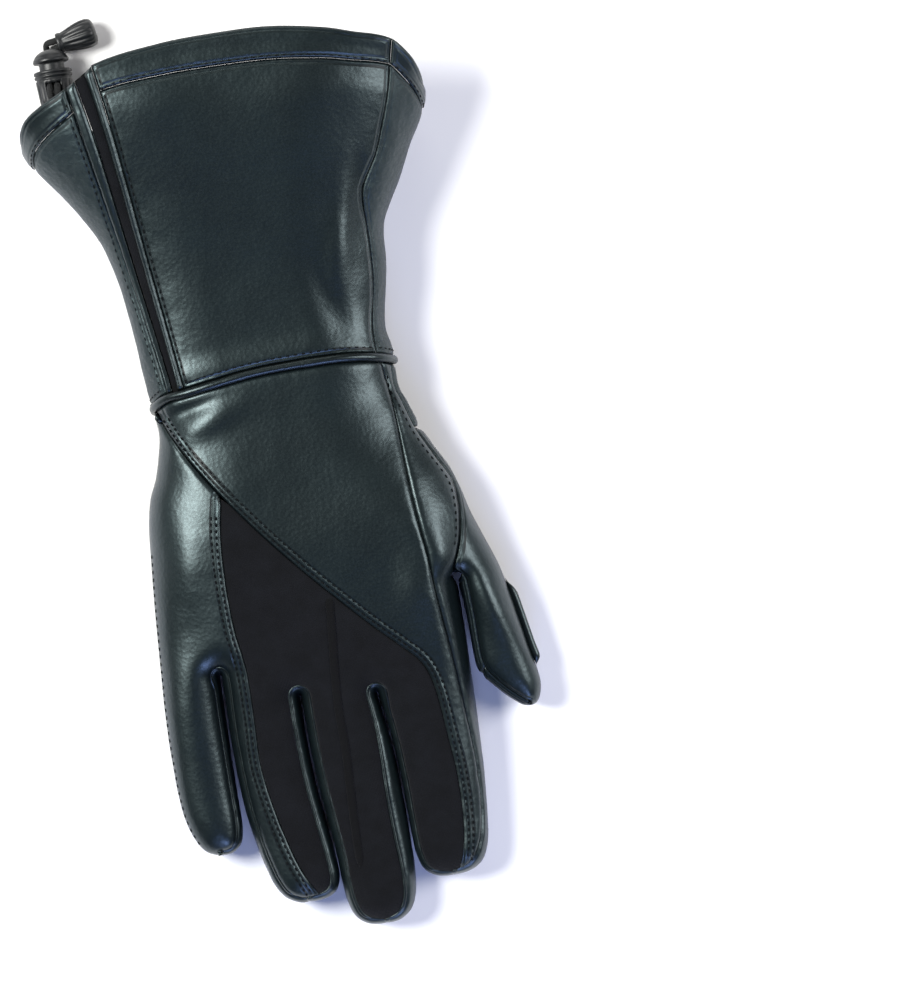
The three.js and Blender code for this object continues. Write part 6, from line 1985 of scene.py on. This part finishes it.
@dataclass
class CordLock:
    """The cord lock, its button, the bell on the cord's end, the tab and the two strands."""

    maker: SheetMaker
    x: float = LOCK_X
    y: float = LOCK_Y
    z: float = 10.125
    cord_diameter: float = 2.4
    cord_gap: float = 0.35
    lock_radius: float = 7.2
    stem_radius: float = 4.7
    button_radius: float = 6.8
    travel: float = 2.5
    barrel_end: float = 13.6
    hole: float = 7.45
    hole_half: float = 1.55
    bell_radius: float = 5.6
    bell_length: float = 15.0
    bell_turn: float = 10.0
    tab_x: float = -60.4
    tab_y: float = 92.0
    tab_size: tuple[float, float, float] = (8.8, 5.8, 4.4)
    tab_stack: float = 2.3 + 0.9 + 2.3

    def build(self) -> None:
        """Makes every piece."""
        tab = self.tab()
        bell = self.bell()
        self.barrel()
        self.button()
        self.strands(tab)

    def _window(self, up: float, down: float, on: float) -> Window:
        """The cord's opening, longer by some amounts."""
        low, high = self.hole - self.hole_half, self.hole + self.hole_half + on
        return Window(self.cord_diameter + self.cord_gap * 1.5 + 0.1, (low - up, high),
                      (low, high + down))

    def barrel(self) -> None:
        """The lock's barrel, with collar rings and grips moulded along it."""
        r, end = self.lock_radius, self.barrel_end
        profile = [(0, 0), (r - 2.2, 0), (r - 1.3, 0.15), (r - 0.95, 0.6), (r - 0.85, 1.2),
                   *((r - 0.8 + 0.05 * i, 1.4 + 0.8 * i) for i in range(1, 11)),
                   (r - 0.3, end - 3.6), (r - 0.75, end - 3.3), (r - 0.75, end - 2.9),
                   (r - 0.1, end - 2.6), (r, end - 2.3), (r, end - 1.9), (r - 0.45, end - 1.7),
                   (r - 0.45, end - 1.4), (r, end - 1.2), (r, end - 0.5), (r - 0.2, end - 0.1),
                   (r - 0.6, end)]
        turning = Turning(profile, (self.x, self.y, self.z), flutes=18, flute_depth=0.55,
                          flute_ends=(1.4, end - 3.9), window=self._window(2.4, 2.4, 0.0),
                          steps=90)
        self.maker.shop.piece(turning.build(), "cord_lock_body", Slot.PLASTIC, "cord_lock_barrel",
                              wall=1.9)

    def button(self) -> None:
        """The lock's button, with its stem."""
        r, stem = self.button_radius, self.stem_radius
        base = self.barrel_end + self.travel + 0.5
        neck = [(stem, 4.5 + (base - 4.5) * k / 14) for k in range(15)]
        profile = [(0, 4.5), (stem - 0.4, 4.5), *neck, (r - 0.5, base), (r - 0.1, base + 0.25),
                   (r, base + 0.7), (r - 0.1, base + 1.2), (r - 0.45, base + 2.0),
                   (r - 0.75, base + 2.2), (r - 0.8, base + 2.5), (r - 1.5, base + 3.3),
                   (r - 2.6, base + 4.1), (r - 4.0, base + 4.7), (r - 5.4, base + 5.0),
                   (0, base + 5.1)]
        turning = Turning(profile, (self.x, self.y, self.z),
                          window=self._window(0.0, 0.0, self.travel))
        self.maker.shop.piece(turning.build(), "cord_lock_plunger", Slot.PLASTIC,
                              "cord_lock_button", body=BUTTON_BODY, wall=0.9)

    @property
    def bell_place(self) -> tuple[float, float, float]:
        """Middle of the bell's mouth."""
        base = self.barrel_end + self.travel + 0.5
        return (self.x + 3.4, self.y + base + 7.3, self.bell_radius + 0.35)

    def bell(self) -> Piece:
        """The fluted bell that hides the cord's knot."""
        r, n = self.bell_radius, self.bell_length
        bore = self.cord_diameter + self.cord_gap * 1.5
        profile = [(0, 6.0), (bore - 0.1, 6.0), (bore, 5.6), (bore, 0.5), (bore + 0.2, 0.1),
                   (bore + 0.5, 0.0), (bore + 0.85, 0.2), (bore + 0.95, 0.7), (bore + 0.95, 1.5),
                   (bore + 0.7, 1.8), (bore + 0.75, 2.2), (bore + 1.2, 4.0),
                   *((bore + 1.2 + (r - bore - 1.2) * math.sin(k * math.pi / 16), 4.0 + k * 0.96)
                     for k in range(1, 9)),
                   (r - 0.1, n * 0.84), (r - 0.35, n * 0.9), (r - 0.8, n * 0.95),
                   (r - 1.6, n * 0.985), (r - 2.6, n), (0, n)]
        turning = Turning(profile, self.bell_place, turn=self.bell_turn, flutes=14,
                          flute_depth=0.5, flute_ends=(3.0, n * 0.92), steps=84)
        return self.maker.shop.piece(turning.build(), "cord_bell", Slot.PLASTIC, "cord_end")

    def tab(self) -> tuple[float, float, float]:
        """The leather tab that holds the two strands inside the mouth.

        Returns:
            The middle of the tab.
        """
        x, y, step = self.tab_x, self.tab_y, 0.25
        plan = np.array([[x, y], [x + step, y], [x - step, y], [x, y + step], [x, y - step]])
        h = self.maker.pattern.form.height(plan, Side.PALM)
        slope = ((h[1] - h[2]) / (2 * step), (h[3] - h[4]) / (2 * step))
        up = Vector((-slope[0], -slope[1], 1.0)).normalized()
        middle = Vector((x, y, h[0])) + up * self.tab_stack
        build = bmesh.new()
        bmesh.ops.create_cube(build, size=1.0, matrix=Matrix.Diagonal((*self.tab_size, 1.0)))
        bmesh.ops.bevel(build, geom=build.edges[:] + build.verts[:], offset=1.3, segments=4,
                        affect="EDGES", profile=0.5, material=-1)
        turn = Vector((0, 0, 1)).rotation_difference(up).to_matrix().to_4x4()
        bmesh.ops.transform(build, matrix=Matrix.Translation(middle) @ turn, verts=build.verts)
        self.maker.shop.piece(build, "cord_tab_leather", Slot.GRAINED, "cord_tab")
        return tuple(middle)

    def route(self, side: int, tab: tuple[float, float, float]) -> Array:
        """The points that one strand runs through.

        Args:
            side: -1 for the left strand, 1 for the right one.
            tab: middle of the tab.

        Returns:
            The points, in millimetres.
        """
        gap = (self.cord_diameter + self.cord_gap) / 2
        x, hole = self.x + side * gap, self.y + self.hole
        over = self.z + self.lock_radius + self.cord_diameter / 2 + self.cord_gap
        low = self.cord_diameter / 2 + 0.15
        turn = math.radians(self.bell_turn)
        bx, by, bz = self.bell_place

        def at_bell(run: float, z: float) -> tuple[float, float, float]:
            return (bx + run * math.cos(turn) + side * gap * math.sin(turn),
                    by + run * math.sin(turn) - side * gap * math.cos(turn), z)

        points = [
            (tab[0] + side * gap, tab[1] + 3.91, tab[2] + 0.4 - side * 0.3),
            (x - 0.4, hole - 17.5, 8.6), (x, hole - 12.4, 12.8), (x, hole - 7.2, over + 0.2),
            (x, hole - 3.6, over + 0.45), (x, hole - 1.1, over - 0.9), (x, hole, over - 3.6),
            (x, hole, self.z), (x, hole, low + 4), (x, hole + 1.1, low + 1.3),
            (x, hole + 3.8, low), (x, hole + 8.5, low),
            (x + side * 0.1, hole + 13 - side * 0.9, low + 0.3),
            at_bell(-3.5 + side * 0.8, bz - 2.6), at_bell(-0.6, bz - 0.2), at_bell(2.4, bz),
            at_bell(5.0, bz),
        ]
        return spline(points, 0.5).points

    def strands(self, tab: tuple[float, float, float]) -> None:
        """The two strands of the drawcord, which share the bell."""
        shop = self.maker.shop
        for side, name in ((-1, "left"), (1, "right")):
            path = (self.route(side, tab) + np.array(shop.shift)) * MM
            curve = bpy.data.curves.new(f"drawcord_{name}_strand", "CURVE")
            curve.dimensions = "3D"
            curve.bevel_depth = self.cord_diameter / 2 * MM
            curve.bevel_resolution = 5
            curve.use_fill_caps = True
            line = curve.splines.new("POLY")
            line.points.add(len(path) - 1)
            line.points.foreach_set("co", np.c_[path, np.ones(len(path))].ravel())
            cord = place_in_scene(f"drawcord_{name}_strand", curve)
            shop.finishes.dress(cord, Slot.CORD)
            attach(cord, GLOVE_BODY)
            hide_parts(f"drawcord_{name}")


@dataclass
class Studio:
    """Camera, lights and floor."""

    shift: Vector
    view_x: float = 61.7
    view_y: float = -55.2
    view_height: float = 375.0
    distance: float = 1600.0
    level: float = 22.0
    turn: float = -9.5
    floor_drop: float = 0.4

    def build(self, finishes: Finishes) -> None:
        """Makes all of it."""
        self.camera()
        self.floor(finishes)
        self.lights()

    def camera(self) -> None:
        """A long lens straight above, turned as the photograph is."""
        data = bpy.data.cameras.new("camera")
        data.sensor_width = 36.0
        data.lens = data.sensor_width * self.distance / self.view_height
        data.clip_end = 20.0
        camera = place_in_scene("camera", data)
        middle = Vector((self.view_x, self.view_y, self.level + self.distance))
        camera.location = (middle + self.shift) * MM
        camera.rotation_euler = (0.0, 0.0, math.radians(self.turn))
        bpy.context.scene.camera = camera

    def floor(self, finishes: Finishes) -> None:
        """A pale floor."""
        build = bmesh.new()
        bmesh.ops.create_grid(build, x_segments=1, y_segments=1, size=4.0)
        mesh = bpy.data.meshes.new("floor")
        build.to_mesh(mesh)
        build.free()
        floor = place_in_scene("floor", mesh)
        floor.location.z = -self.floor_drop * MM
        mesh.materials.append(finishes.floor)

    def lights(self) -> None:
        """Soft lights: a large one from the upper left, a cool one from the right, and the room."""
        rows = [
            ("key", (-0.84, 0.34, 1.1), 0.65, 31.0, (1.0, 1.0, 0.97)),
            ("fill", (1.05, 0.05, 0.85), 0.7, 14.0, (1.0, 0.98, 0.99)),
            ("foot", (0.15, -1.25, 0.75), 0.7, 12.0, (0.42, 0.52, 1.0)),
            ("head", (0.1, 1.3, 0.6), 0.8, 3.0, (1.0, 0.98, 0.95)),
        ]
        for name, place, size, power, tone in rows:
            data = bpy.data.lights.new(name, "AREA")
            data.shape = "DISK"
            data.size = size
            data.energy = power
            data.color = tone
            lamp = place_in_scene(name, data)
            lamp.location = place
            lamp.rotation_euler = (-Vector(place)).to_track_quat("-Z", "Y").to_euler()
        world = bpy.data.worlds.new("room")
        world.use_nodes = True
        room = world.node_tree.nodes["Background"].inputs
        room["Color"].default_value = (0.95, 0.97, 1.0, 1.0)
        room["Strength"].default_value = 0.06
        bpy.context.scene.world = world
        bpy.context.scene.view_settings.view_transform = "Standard"


def plan_shift() -> Vector:
    """How far the frame's origin lies from the middle of the wrist, read from the cord lock."""
    low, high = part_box("cord_lock_barrel")
    middle = (Vector(low) + Vector(high)) / 2 / MM
    return Vector((middle.x - LOCK_X, middle.y - LOCK_Y - LOCK_HALF, 0.0))


def main() -> None:
    """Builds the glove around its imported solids."""
    logging.basicConfig(level=logging.INFO, format="%(message)s")
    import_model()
    shift = plan_shift()
    LOG.info("shift %s", tuple(round(c, 2) for c in shift))
    finishes = Finishes()
    Studio(shift).build(finishes)
    maker = SheetMaker(Pattern(), Workshop(finishes, shift))
    CordLock(maker).build()
    Gauntlet(maker).build()
    sewing = Sewing(maker)
    Trim(maker, sewing).build()
    Topstitch(maker, sewing).build()


if __name__ == "__main__":
    main()
